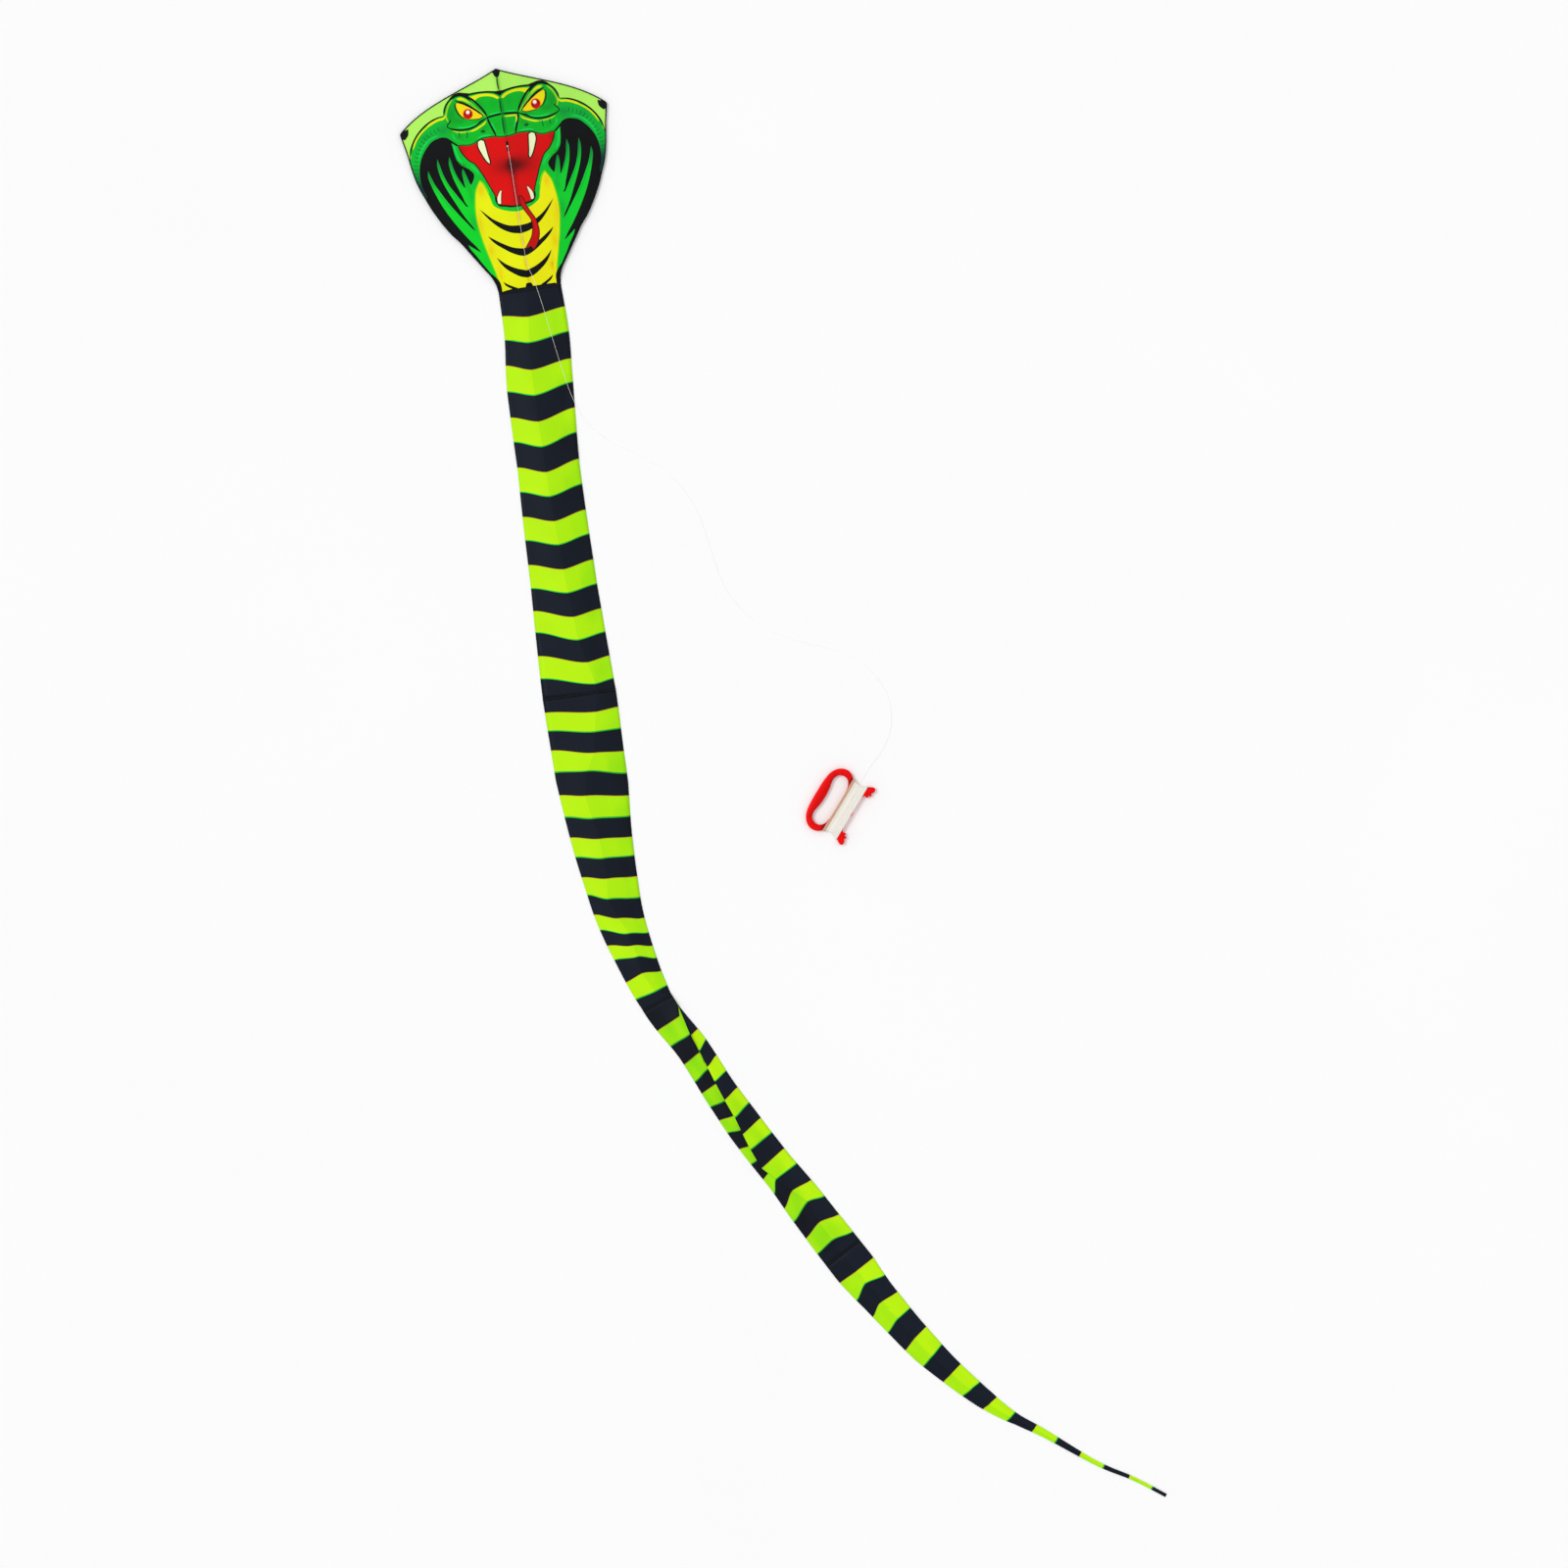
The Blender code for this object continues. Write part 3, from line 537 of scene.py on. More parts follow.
def moulded(name, colour, roughness, grain=900.0, depth=0.00005, **shine):
    """Moulded plastic or rod: fine grain, faint flow marks and scuffed gloss."""
    made, tree, shader = new_material(name, colour, roughness, **shine)
    place = node(tree, "ShaderNodeTexCoord", {}).outputs["Object"]
    flow = spots(tree, place, 18.0, 4.0)
    scuffs = spots(tree, place, 240.0, 6.0)
    darker = [part * 0.90 for part in colour]
    marked = mix(tree, flow, linear(darker), linear(colour))
    # The shade attribute adds painted shade, as in the winder's corners.
    shade = node(tree, "ShaderNodeAttribute", {}, attribute_name="shade").outputs["Fac"]
    shaded = mix(tree, shade, marked, linear([part * 0.5 for part in colour]))
    tree.links.new(shaded, shader.inputs["Base Color"])
    gloss = maths(tree, "MULTIPLY_ADD", scuffs, 0.22, roughness - 0.11)
    tree.links.new(gloss, shader.inputs["Roughness"])
    raise_surface(tree, shader, spots(tree, place, grain, 2.0), depth)
    return made


def twisted_line(name):
    """Twisted polyester line: strands wrapped round it with painted shade between them, and tan near the
    grip.
    """
    made, tree, shader = new_material(name, (255, 252, 244), 0.62)
    place = node(tree, "ShaderNodeTexCoord", {}).outputs["Object"]
    strands = threads(tree, place, 0.0011, "DIAGONAL")
    tone = node(tree, "ShaderNodeAttribute", {}, attribute_name="shade").outputs["Fac"]
    ground = mix(tree, tone, linear((255, 252, 244)), linear((196, 126, 62)))
    # Painted shade in the grooves between the strands.
    shaded = mix(tree, maths(tree, "MULTIPLY", strands, 0.10), ground, linear((190, 160, 120)))
    tree.links.new(shaded, shader.inputs["Base Color"])
    raise_surface(tree, shader, strands, 0.0001)
    return made


def brushed_metal(name, colour):
    """Pressed brass with fine scratches and dull spots."""
    made, tree, shader = new_material(name, colour, 0.3, Metallic=1.0)
    place = node(tree, "ShaderNodeTexCoord", {}).outputs["Object"]
    dull = spots(tree, place, 700.0, 5.0)
    darker = [part * 0.7 for part in colour]
    tree.links.new(mix(tree, dull, linear(darker), linear(colour)), shader.inputs["Base Color"])
    tree.links.new(maths(tree, "MULTIPLY", dull, 0.6), shader.inputs["Roughness"])
    return made


def pale_floor(name):
    made, tree, shader = new_material(name, (250, 250, 250), 0.9)
    place = node(tree, "ShaderNodeTexCoord", {}).outputs["Object"]
    cloudy = mix(tree, spots(tree, place, 0.7), linear((248, 248, 249)), linear((252, 252, 252)))
    tree.links.new(cloudy, shader.inputs["Base Color"])
    return made


# ---------------------------------------------------------------- camera, light, floor
def build_camera():
    camera = bpy.data.objects.new("camera", bpy.data.cameras.new("camera"))
    bpy.context.scene.collection.objects.link(camera)
    camera.location = (*CAMERA_PLACE, CAMERA_HEIGHT)
    camera.rotation_euler = (0, 0, CAMERA_TURN)
    camera.data.lens = CAMERA_LENS
    camera.data.clip_end = 100
    bpy.context.scene.camera = camera


def build_studio():
    """A pale floor under an even white surround, with one broad soft sun from the upper left."""
    corners = [(x * FLOOR_REACH, y * FLOOR_REACH, 0) for x, y in ((-1, -1), (1, -1), (1, 1), (-1, 1))]
    floor = mesh_piece("floor", corners, [(0, 1, 2, 3)], [pale_floor("floor_paint")])
    surround = bpy.data.worlds.new("surround")
    surround.use_nodes = True
    background = surround.node_tree.nodes["Background"]
    background.inputs[0].default_value = (1, 1, 1, 1)
    background.inputs[1].default_value = SURROUND_STRENGTH
    bpy.context.scene.world = surround
    sun = bpy.data.objects.new("sun", bpy.data.lights.new("sun", "SUN"))
    bpy.context.scene.collection.objects.link(sun)
    sun.data.energy = SUN_STRENGTH
    sun.data.angle = SUN_SPREAD
    sun.rotation_euler = (SUN_TILT, 0, SUN_BEARING)
    bpy.context.scene.view_settings.view_transform = "Standard"


# ---------------------------------------------------------------- cloth surfaces
def hood_height(x, y):
    """Height of the hood's cloth at a place given from the neck: taut, with faint ripples."""
    taut = NECK.z - TIP_DROP * abs(x) / HALF_SPAN
    rise = between(NECK_SLOPE, y)
    ripple = noise.noise(Vector((x * 9, y * 7, 0.3))) * 0.0011
    ripple += noise.noise(Vector((x * 30, y * 24, 2))) * 0.0003
    calm = min(1.0, abs(x) / 0.03) * min(1.0, max(0.0, y - 0.02) / 0.1)
    return min(taut, rise) + 0.0003 + ripple * calm + 0.0003 * calm


TAIL_LINE = smooth_curve([Vector(point) for point in TAIL_PATH], 12)
TAIL_LENGTH = length_of(TAIL_LINE)
TAIL_FRAMES = spread(TAIL_LINE, 1200)


def tail_place(distance):
    """Middle of the tail and its direction at a distance from the neck."""
    spot = max(0.0, min(distance / TAIL_LENGTH, 1.0)) * (len(TAIL_FRAMES) - 1)
    index = min(int(spot), len(TAIL_FRAMES) - 2)
    (place, along), (after, _) = TAIL_FRAMES[index], TAIL_FRAMES[index + 1]
    beyond = min(distance, 0.0) + max(distance - TAIL_LENGTH, 0.0)
    return place.lerp(after, spot - index) + along * beyond, along


def tail_flap(distance, right):
    """How far down a flap's outer edge and its crease lie, the crease's place across, and its height."""
    columns = (4, 3, 6) if right else (1, 2, 5)
    edge, fold, height = [between(TAIL_DRAPE, distance, column) for column in columns]
    return edge, fold, between(TAIL_CREASE, distance + fold), height


def tail_rise(distance, across, right):
    """Share of the way from the flap's outer edge to its crease, eased, and the cloth's height there."""
    _, _, crease, height = tail_flap(distance, right)
    side = 1 if right else -1
    share = (side - across) / (side - crease) if abs(side - crease) > 0.001 else 1.0
    share = max(0.0, min(1.0, share))
    eased = share * share * (3 - 2 * share) * 0.7 + share * 0.3
    ripple = noise.noise(Vector((distance * 11, across * 1.3, 5))) * 0.0016
    flutter = noise.noise(Vector((distance * 26, across * 2.0, 9))) * 0.0008
    return eased, FLOOR_LIFT + height * eased + max(0.0, ripple + 0.0008) + max(0.0, flutter)


def tail_spot(distance, across, right):
    """Where a point of the flat tail lies: across runs from -1 at the left edge to 1 at the right."""
    edge, fold, _, _ = tail_flap(distance, right)
    eased, lift = tail_rise(distance, across, right)
    centre, along = tail_place(distance + edge + (fold - edge) * eased)
    half = between(TAIL_HALF_WIDTH, distance)
    spot = centre + Vector((-along.y, along.x)) * half * across
    return world(spot.x, spot.y, lift)


def tail_row(distance, count=9):
    """A row of the tail's cloth from left to right: each point, its place across, and its flap."""
    row = []
    for side, right in ((-1, False), (1, True)):
        crease = tail_flap(distance, right)[2]
        flap = [side + (crease - side) * step / count for step in range(count + 1)]
        for across in flap[::-side]:
            row.append((tail_spot(distance, across, right), across, right))
    return row


def line_bed(x, y):
    """Height of the cloth or floor under the flying line."""
    if y > 0:
        return hood_height(x, y) + CLOTH
    centre, _ = tail_place(-y)
    across = (x - centre.x) / between(TAIL_HALF_WIDTH, -y)
    if across > 1.05:
        return LINE_GAP + max(0.0, 0.003 * (1 - (across - 1.05) * 4))
    around = [tail_rise(max(0.0, -y - back), min(1.0, across), True)[1] for back in (0.0, 0.015, 0.03)]
    return max(around) + CLOTH


# ---------------------------------------------------------------- flying line
def winder_place(along, towards_horns, height):
    """A place on the winder, in its own directions and metres, in the frame."""
    turned = Matrix.Rotation(WINDER_TURN, 2) @ Vector((along, towards_horns))
    return world(WINDER_PLACE[0] + turned.x, WINDER_PLACE[1] + turned.y, WINDER_MIDDLE + height)


def one_turn():
    """A turn of line seen from its side, from the near end's underside: its kind, place and angle."""
    straights = [-1, -0.5, 0, 0.5]
    corners = [-90, -60, -30, 0, 30, 60]
    under = [("straight", share, -1) for share in straights]
    over = [("straight", -share, 1) for share in straights]
    far = [("end", 1, math.radians(angle)) for angle in corners]
    near = [("end", -1, math.radians(180 - angle)) for angle in [-angle for angle in corners]]
    return under + far + over + near


def wound_path():
    """The line's turns round the winder, outermost layer first."""
    path = []
    shape = one_turn()
    for layer, (first, last, height, turns) in enumerate(WINDING_LAYERS):
        for step in range(turns * len(shape)):
            kind, place, angle = shape[step % len(shape)]
            turn = step / len(shape)
            wander = noise.noise(Vector((int(turn) * 0.61, layer * 7.0, 0.5))) * 0.35
            across = first + (last - first) * turn / turns + wander
            across = max(WINDING_REACH[0], min(WINDING_REACH[1], across))
            reach = between(WINDING_ENDS, across) * WINDER_GRID + height
            half = WINDER_HALF + LINE_GAP + height
            corner = half * 0.6
            if kind == "straight":
                along, up = place * (reach - corner), angle * half
            else:
                along = place * (reach - corner) + corner * math.cos(angle)
                up = half * math.sin(angle)
            path.append((winder_place(along, across * WINDER_GRID, up), across))
    return path


def build_line(made):
    """One length of line, from the tow point over the kite to the winder, and round and round it."""
    route = smooth_curve([Vector(point) for point in LINE_ROUTE])
    free = []
    for place, _ in spread(route, LINE_POINTS):
        height = line_bed(place.x, place.y) + LINE_RADIUS + LINE_GAP
        from_tow = TOW.y - NECK.y - place.y
        height += 0.0020 * max(0.0, min(1.0, (0.034 - from_tow) / 0.016))
        free.append(world(place.x, place.y, height))
    wound = wound_path()
    path = free[:-1] + [place for place, _ in wound[1:]]
    tones = [0.0] * (LINE_POINTS - 1) + [line_tone(across) for _, across in wound[1:]]
    ups = [Vector((0, 0, 1))] * len(free) + wound_ups(path[len(free) :])
    section = round_section(LINE_RADIUS)
    line = sweep("flying_line_strand", path, ups, section, made)
    set_shade(line, [tone for tone in tones for _ in section])
    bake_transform(line)
    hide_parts("flying_line", "line_winding")
    knot = build_knot(made)


def line_tone(across):
    """Tan near the grip, cream towards the horns, with painted shade of grooves on the turns at two
    places.
    """
    uneven = 0.75 + 0.9 * noise.noise(Vector((across * 0.8, 3.7, 1.2)))
    tan = max(0.0, min(1.0, (1 - across) / 7)) * uneven
    # Painted shade as of grooves between the turns, at two places across the waist.
    groove_shade = 0.30 * math.exp(-(((across - 5) / 1.6) ** 2)) + 0.16 * math.exp(-((across - 25) ** 2))
    return max(0.0, min(1.0, tan + groove_shade))


def wound_ups(path):
    """Directions across the turns, so that the tube round them doesn't twist."""
    across = (winder_place(0, 1, 0) - winder_place(0, 0, 0)).normalized()
    return [across] * len(path)


def build_knot(made):
    """The knot that ties the line to the tow eyelet: a small overhand knot pulled tight."""
    size = 0.00075
    middle = Vector((TOW.x, TOW.y, TOW.z + 0.0009))
    path = []
    for index in range(48):
        turn = math.tau * index / 48
        ring = 2 + math.cos(3 * turn)
        across = ring * math.cos(2 * turn) * size * 0.8
        path.append(middle + Vector((across, ring * math.sin(2 * turn) * size, math.sin(3 * turn) * size)))
    ups = [Vector((0.2, 0.1, 1)).normalized()] * len(path)
    knot = sweep("tow_knot", path, ups, round_section(LINE_RADIUS), made, closed=True)
    set_shade(knot, [0.1] * len(knot.data.vertices))
    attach(knot, "frame")
    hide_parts("line_knot")
    return knot


# ---------------------------------------------------------------- the hood's print
INKS = {
    "lime": (176, 243, 98), "black": (9, 13, 15), "rim": (0, 186, 56), "face": (0, 184, 42),
    "flame": (0, 213, 44), "deep": (0, 96, 40), "brow": (170, 222, 40),
    "yellow": (228, 234, 0), "eye": (248, 218, 0), "orange": (236, 120, 12), "iris": (196, 8, 16),
    "pupil": (112, 0, 8), "glint": (255, 248, 240), "blush": (236, 120, 96), "bright": (16, 222, 92),
    "mouth": (220, 0, 0), "fang": (243, 250, 196), "tooth": (255, 236, 190), "tongue": (192, 0, 0),
    "glow": (120, 222, 16),
    "belly": (231, 237, 0), "lip": (0, 196, 50),
}  # fmt: skip
# Dark colours that the shade attribute mixes each ink towards: shading in the print, and painted shade on
# the hood's right half.
INK_DARK = {
    "mouth": (92, 0, 0), "belly": (234, 184, 0), "black": (0, 0, 0), "lime": (104, 170, 44),
    "rim": (6, 60, 54), "flame": (8, 96, 60), "face": (0, 104, 36),
}  # fmt: skip

# From the bottom layer up: ink, what it is, size, and its points on the right half. A fill's size is the
# width of its black outline, and a line's size its width. All but the last part is mirrored to the left.
PRINT = [
    ("face", "fill", 0, [(0, 24.5), (10, 21.5), (20, 20.5), (28, 20.5), (36, 21), (42, 19), (50, 22.5),
        (55.5, 28), (58, 33), (59.5, 38.5), (66, 39.5), (73, 42), (81, 46.5), (89, 53.5), (94, 60),
        (98, 68), (99.5, 77), (112, 90), (112, 230), (0, 230)]),
    ("rim", "fill", 0, [(58, 45), (66, 42), (80, 48), (92, 60), (99, 76), (112, 90), (108, 130),
        (88, 122), (92, 100), (90, 84), (80, 67), (66, 60), (57, 66)]),
    ("black", "fill", 0, [(56.4, 67), (58.8, 63.2), (61.5, 61.2), (64, 60), (69, 60.5), (76, 63),
        (82, 68.5), (87, 75), (90.5, 82), (92.5, 90), (93, 100), (91.5, 110), (89.3, 118), (93, 124),
        (112, 126), (112, 230), (28, 230), (28, 108), (44, 98), (50, 91.5), (53.3, 86), (55, 79),
        (56, 70)]),
    ("flame", "fill", 0, [(30, 100), (38, 100), (39.5, 108), (42.5, 112.3), (45, 116), (46, 130),
        (45.5, 150), (43, 170), (41, 184), (36, 200), (29, 214), (20, 214), (20, 120)]),
    ("flame", "fill", 0, [(48.8, 94.5), (50, 98), (49.8, 106), (49, 113), (46, 122), (40, 126), (38, 112),
        (43.5, 112), (45, 106), (47.3, 98)]),
    ("flame", "fill", 0, [(60.5, 80.5), (62, 87), (61.5, 94), (59.8, 103), (57, 112), (53.5, 122),
        (50, 132), (40, 140), (40, 114), (50, 114), (55, 103), (57.8, 94), (59.3, 85)]),
    ("flame", "fill", 0, [(73, 81), (74, 88), (72.8, 98), (70.3, 107), (66.5, 117), (61, 129), (55, 142),
        (47.5, 155), (45.5, 158.5), (38, 166), (38, 134), (51, 133.5), (60, 118.5), (65.7, 108),
        (69.5, 97), (71.5, 87)]),
    ("flame", "fill", 0, [(84, 91.5), (85, 97.5), (82.7, 108), (79.7, 117.5), (75.7, 128), (71, 138),
        (65.5, 148), (59, 158.5), (53, 167.5), (47, 175.5), (42.7, 182), (36, 190), (36, 160),
        (45.5, 159), (53, 150), (61.5, 138), (68.5, 127), (74.5, 116), (79.3, 106.5), (82.3, 97.5)]),
    ("flame", "fill", 0, [(55, 172.5), (53, 177.5), (48, 185.5), (43.5, 193.5), (38.5, 201.5),
        (34.5, 208.5), (31.5, 214.5), (26, 214), (30, 184), (42.7, 182), (49, 177.5)]),
    ("rim", "line", 1.0, [(60.3, 83), (58.6, 94), (55.5, 104), (52, 113)]),
    ("rim", "line", 1.2, [(72.6, 86), (70.8, 97), (67, 108), (61.5, 119), (55, 130)]),
    ("rim", "line", 1.2, [(83.4, 97), (80.8, 107), (76, 117), (70, 128), (63, 139)]),
    ("glow", "fill", 0, [(33.5, 108.6), (37.6, 114.5), (39.9, 120), (42, 130), (43.1, 140), (43.3, 150),
        (42.2, 160), (40.5, 170), (38.5, 180), (36.1, 190), (33.6, 200), (31.2, 211), (29, 226), (0, 226),
        (0, 144), (11, 142), (18, 139), (22.5, 135), (24.5, 127), (27, 119), (30, 112)]),
    ("belly", "fill", 0, [(33.5, 110.3), (36.5, 115), (38.7, 120), (40.8, 130), (41.8, 140), (42, 150),
        (41, 160), (39.3, 170), (37.3, 180), (35, 190), (32.5, 200), (30.3, 210), (28.5, 226), (0, 226),
        (0, 146), (11, 143.8), (18, 140.8), (23.8, 136.5), (25.6, 130), (28, 121.5), (31, 113.5)]),
    ("lip", "fill", 0, [(26.5, 123), (24.6, 131), (23, 136.5), (18.5, 140.6), (12, 143.6), (5, 145.6),
        (0, 146.2), (0, 141), (17, 136), (20, 131), (23, 121)]),
    ("black", "fill", 0, [(38.2, 138.2), (33.5, 145.6), (29, 151.5), (23.5, 157.5), (17, 162.8), (9, 167),
        (0, 169), (0, 160.5), (10, 159.3), (20, 154.5), (27, 149.5), (33, 143.5)]),
    ("black", "fill", 0, [(33.8, 166.8), (31, 171.5), (26, 177), (20, 181.8), (12, 187.5), (5, 191),
        (0, 192.3), (0, 184.5), (10, 182), (20, 176.5), (28, 171)]),
    ("black", "fill", 0, [(28.3, 189.5), (26, 194.8), (21, 202), (14, 208), (7, 212.5), (0, 214.5),
        (0, 207), (10, 203.5), (18, 199), (23.5, 194.5)]),
    ("black", "fill", 0, [(25.7, 215), (24, 218.6), (18, 223.2), (12, 226.5), (6, 226.5), (12, 223.2),
        (20, 219)]),
    ("black", "fill", 0, [(0, 219.5), (2.6, 220), (3.6, 222.5), (4.6, 226.5), (0, 226.5)]),
    ("black", "fill", 0, [(29, 214.5), (36, 205), (36, 227), (28, 227)]),
    ("lip", "fill", 1.2, [(56.6, 65.6), (56, 70), (55, 79), (53.3, 86), (50, 91.3), (46, 94.3),
        (41, 97.6), (37.5, 102.5), (39.2, 107.5), (41, 110), (34, 107), (28.5, 107), (30.5, 101),
        (33.5, 95.5), (36.5, 91), (41, 87.5), (44.5, 83), (47.8, 77), (50, 71.2), (53, 68.4)]),
    ("lip", "fill", 0, [(42, 96.8), (38.4, 101.5), (39.5, 107), (44, 113.5), (40, 118), (33.5, 108.4),
        (29, 112.5), (26.3, 120), (23.8, 124), (28, 108), (32, 98.5), (37, 95)]),
    ("black", "fill", 0, [(50, 91.5), (46, 94.6), (41.2, 97.9), (38.2, 102.3), (39.8, 108), (42.7, 112.3),
        (44.5, 108), (46.8, 99)]),
    ("mouth", "fill", 1.6, [(0, 69), (6, 68.5), (12, 67.2), (20, 67.3), (26, 67.8), (30, 69.5),
        (34, 71.5), (39, 72.2), (45, 71.4), (49.6, 71), (47.5, 77.5), (44.2, 83.3), (40.6, 87.8),
        (36.2, 91.2), (33.2, 95.7), (30.2, 101.8), (27.5, 107.8), (25.2, 113.8), (22.7, 119.8),
        (20.5, 125.8), (19.4, 131.5), (19, 134), (16.6, 137), (12, 138), (6, 139.5), (0, 140.3)]),
    ("black", "line", 1.8, [(20.5, 127), (19.6, 134), (17, 137.6), (12, 138.8), (6, 140.3), (0, 141.2)]),
    ("fang", "fill", 1.8, [(22.8, 70), (26, 68.4), (29.5, 70), (30, 75), (27.8, 82), (25.3, 88),
        (22.6, 92.6), (20.8, 94.4), (20, 92.5), (20.9, 86), (21.8, 78)]),
    ("tooth", "fill", 1.2, [(12.8, 122.6), (14.5, 122.4), (17, 126), (18.8, 130), (18.8, 135),
        (17, 136.4), (15.2, 136), (14.6, 131), (13.8, 127)]),
    ("black", "line", 1.9, [(-0.5, 24.9), (5, 22.7), (10, 21.4), (20, 20.5), (28, 20.6), (37, 21.4)]),
    ("black", "fill", 0, [(0, 21.6), (3.5, 21.6), (8, 20.8), (6, 23.2), (2, 25.5), (0, 27)]),
    ("black", "fill", 0, [(26, 21), (31, 19.6), (36, 18.4), (41, 17.4), (48, 19.3), (53, 23.8),
        (48, 22.9), (44.5, 21.5), (40, 21.4), (35.5, 23.6), (31, 27.4), (29.4, 28.4), (32.4, 23.2),
        (31, 21.8)]),
    ("black", "line", 1.7, [(45, 20.5), (50, 22.6), (55.5, 27.6), (58.3, 33), (59.7, 38.6)]),
    ("black", "line", 1.7, [(59.5, 38.4), (66, 39.6), (73, 42), (81, 46.4), (89, 53.4), (94, 60),
        (98.2, 68), (100.6, 79)]),
    ("yellow", "fill", 0, [(30.5, 23.3), (20, 22.1), (12, 22.9), (5, 25.2), (0.5, 28.8), (3, 29.8),
        (8, 26.8), (15, 25.1), (22, 25.6), (26.2, 28), (28.6, 26.4)]),
    ("brow", "line", 1.5, [(48.5, 23.6), (53, 28.4), (56, 34.5), (57.5, 40), (56, 46)]),
    ("yellow", "line", 2.3, [(57.8, 38), (60, 41), (66, 41.9), (73, 44.4), (80, 48.4)]),
    ("yellow", "line", 1.6, [(76, 46.4), (82, 50), (88, 55.2), (92.5, 61), (96, 68)]),
    ("black", "line", 2.1, [(34, 21.8), (28, 27), (22.6, 33.6), (18, 41), (15.6, 47)]),
    ("brow", "fill", 0, [(44.5, 23), (40, 22.4), (34, 26), (29, 31), (24, 37), (19, 43), (16.8, 45.8),
        (18.8, 44.4), (22, 40.5), (28, 35), (33, 30), (38, 26.5), (42.5, 25)]),
    ("yellow", "fill", 0, [(44, 23.2), (40, 22.9), (35.5, 25.6), (34, 27.6), (38, 25.6), (42, 24.6)]),
    ("lip", "fill", 0, [(32.6, 28.4), (28.6, 32.2), (24.5, 37), (22.6, 39.4), (27.5, 34.6), (32, 30.2)]),
    ("eye", "fill", 1.0, [(45, 27.2), (41, 28.6), (34, 32.8), (28, 37.4), (22, 42.4), (20.2, 45),
        (23, 46.6), (30, 46.6), (36, 45.6), (41, 42.6), (44.6, 37), (46, 29.4)]),
    ("yellow", "fill", 0, [(44, 29.5), (40.5, 31), (41.6, 36.5), (43, 37), (44.6, 33)]),
    ("black", "line", 1.7, [(46.5, 25), (38.5, 28.4), (32, 32.8), (26, 38.2), (19.5, 44.8)]),
    ("deep", "line", 1.2, [(47.2, 27), (46.8, 34), (44, 40.5), (40, 44.4)]),
    ("black", "line", 2.1, [(0, 45.4), (8, 45.9), (17, 47.2)]),
    ("black", "line", 2.0, [(16, 46), (15, 52), (12.6, 59), (10.6, 65), (10, 67.6)]),
    ("black", "line", 2.0, [(15, 46.6), (22, 49.7), (28, 53.2), (34, 55.2), (42, 55.7), (49, 54.7),
        (54, 52.9), (58.4, 50.2)]),
    ("black", "line", 1.2, [(57.8, 50.8), (57, 48), (54.5, 45.6), (53.3, 43.2)]),
    ("yellow", "line", 1.7, [(17.6, 50), (20, 52.6), (26, 55.7), (31, 57.6), (36, 58.5)]),
    ("brow", "line", 1.4, [(36, 58.4), (42, 58.2), (47, 57.5), (53, 55)]),
    ("deep", "line", 1.0, [(39, 57.4), (38.8, 61), (39.6, 65)]),
    ("deep", "line", 0.9, [(47, 57), (46.6, 60), (47.2, 63)]),
    ("deep", "fill", 0, [(19.6, 60.4), (21.4, 58.9), (24, 58.8), (25.2, 60), (23.6, 61.6), (21, 61.8)]),
    ("bright", "line", 1.3, [(29.5, 66.4), (24, 65), (18.5, 64.8), (14.6, 65.4)]),
    ("bright", "line", 1.1, [(12.4, 52.5), (11.2, 57), (9.4, 61.5)]),
    ("bright", "line", 1.2, [(46, 67.6), (52, 63.4), (54, 58)]),
    ("bright", "line", 1.3, [(26, 51), (32, 53), (40, 53.6), (48, 52.4)]),
    ("bright", "line", 1.2, [(3, 43.4), (9, 43.9), (14, 44.2)]),
    ("bright", "line", 1.6, [(69, 57.6), (77, 60), (84, 65.5), (89, 72.5), (92, 80)]),
    ("bright", "line", 1.5, [(54.4, 67), (53.4, 75), (51.6, 83), (48.4, 89)]),
    ("bright", "line", 1.3, [(40.6, 93), (36, 97.6), (33, 103)]),
    ("black", "line", 2.0, [(62.5, 60.5), (59.5, 62.6), (56.6, 65.3), (53.4, 68.2), (49, 71.8)]),
    ("deep", "line", 1.1, [(50, 70.8), (45, 71.3), (39, 72.2), (34, 71.5), (30, 69.6), (26, 67.9),
        (20, 67.4), (12, 67.3), (6, 68.6), (0, 69.2)]),
    ("lip", "line", 1.2, [(52, 63.5), (47, 67.5), (40, 69.4), (33, 68.2)]),
    ("lip", "line", 1.2, [(8.8, 65.9), (5.5, 66.3), (2, 66.4)]),
    ("black", "fill", 0, [(0, -1), (4, 1), (3, 3.6), (1.6, 6.6), (0, 7.6)]),
]  # fmt: skip

# Drawn once, on the side where it is
PRINT_ONCE = [
    ("deep", "line", 1.6, [(-0.8, 30), (-1, 38), (-0.8, 44)]),
    ("deep", "line", 1.6, [(-1, 48), (-1.2, 57), (-1, 67)]),
    ("yellow", "line", 1.5, [(1, 48.4), (7, 48.6), (13, 48.8), (13.6, 52), (12.4, 56)]),
    ("deep", "line", 1.3, [(0, 7), (-0.6, 14), (0, 21)]),
    ("tongue", "fill", 1.1, [(3.5, 131), (4, 139), (6.5, 145), (9.5, 150.5), (12, 155.5), (12.8, 161),
        (12, 168), (10, 174), (7, 178.5), (4, 182.5), (2, 185.5), (8, 183.3), (10.5, 187.2), (13, 184.5),
        (16, 179.5), (18, 174), (18.8, 168), (18, 161), (16.5, 155.5), (14, 150.5), (11.5, 145.5),
        (9.3, 140.5), (8, 135), (6, 131)]),
    ("mouth", "line", 1.6, [(5.6, 134), (8, 143), (12, 151.5), (15.4, 160), (15.8, 168), (13.6, 175)]),
]  # fmt: skip


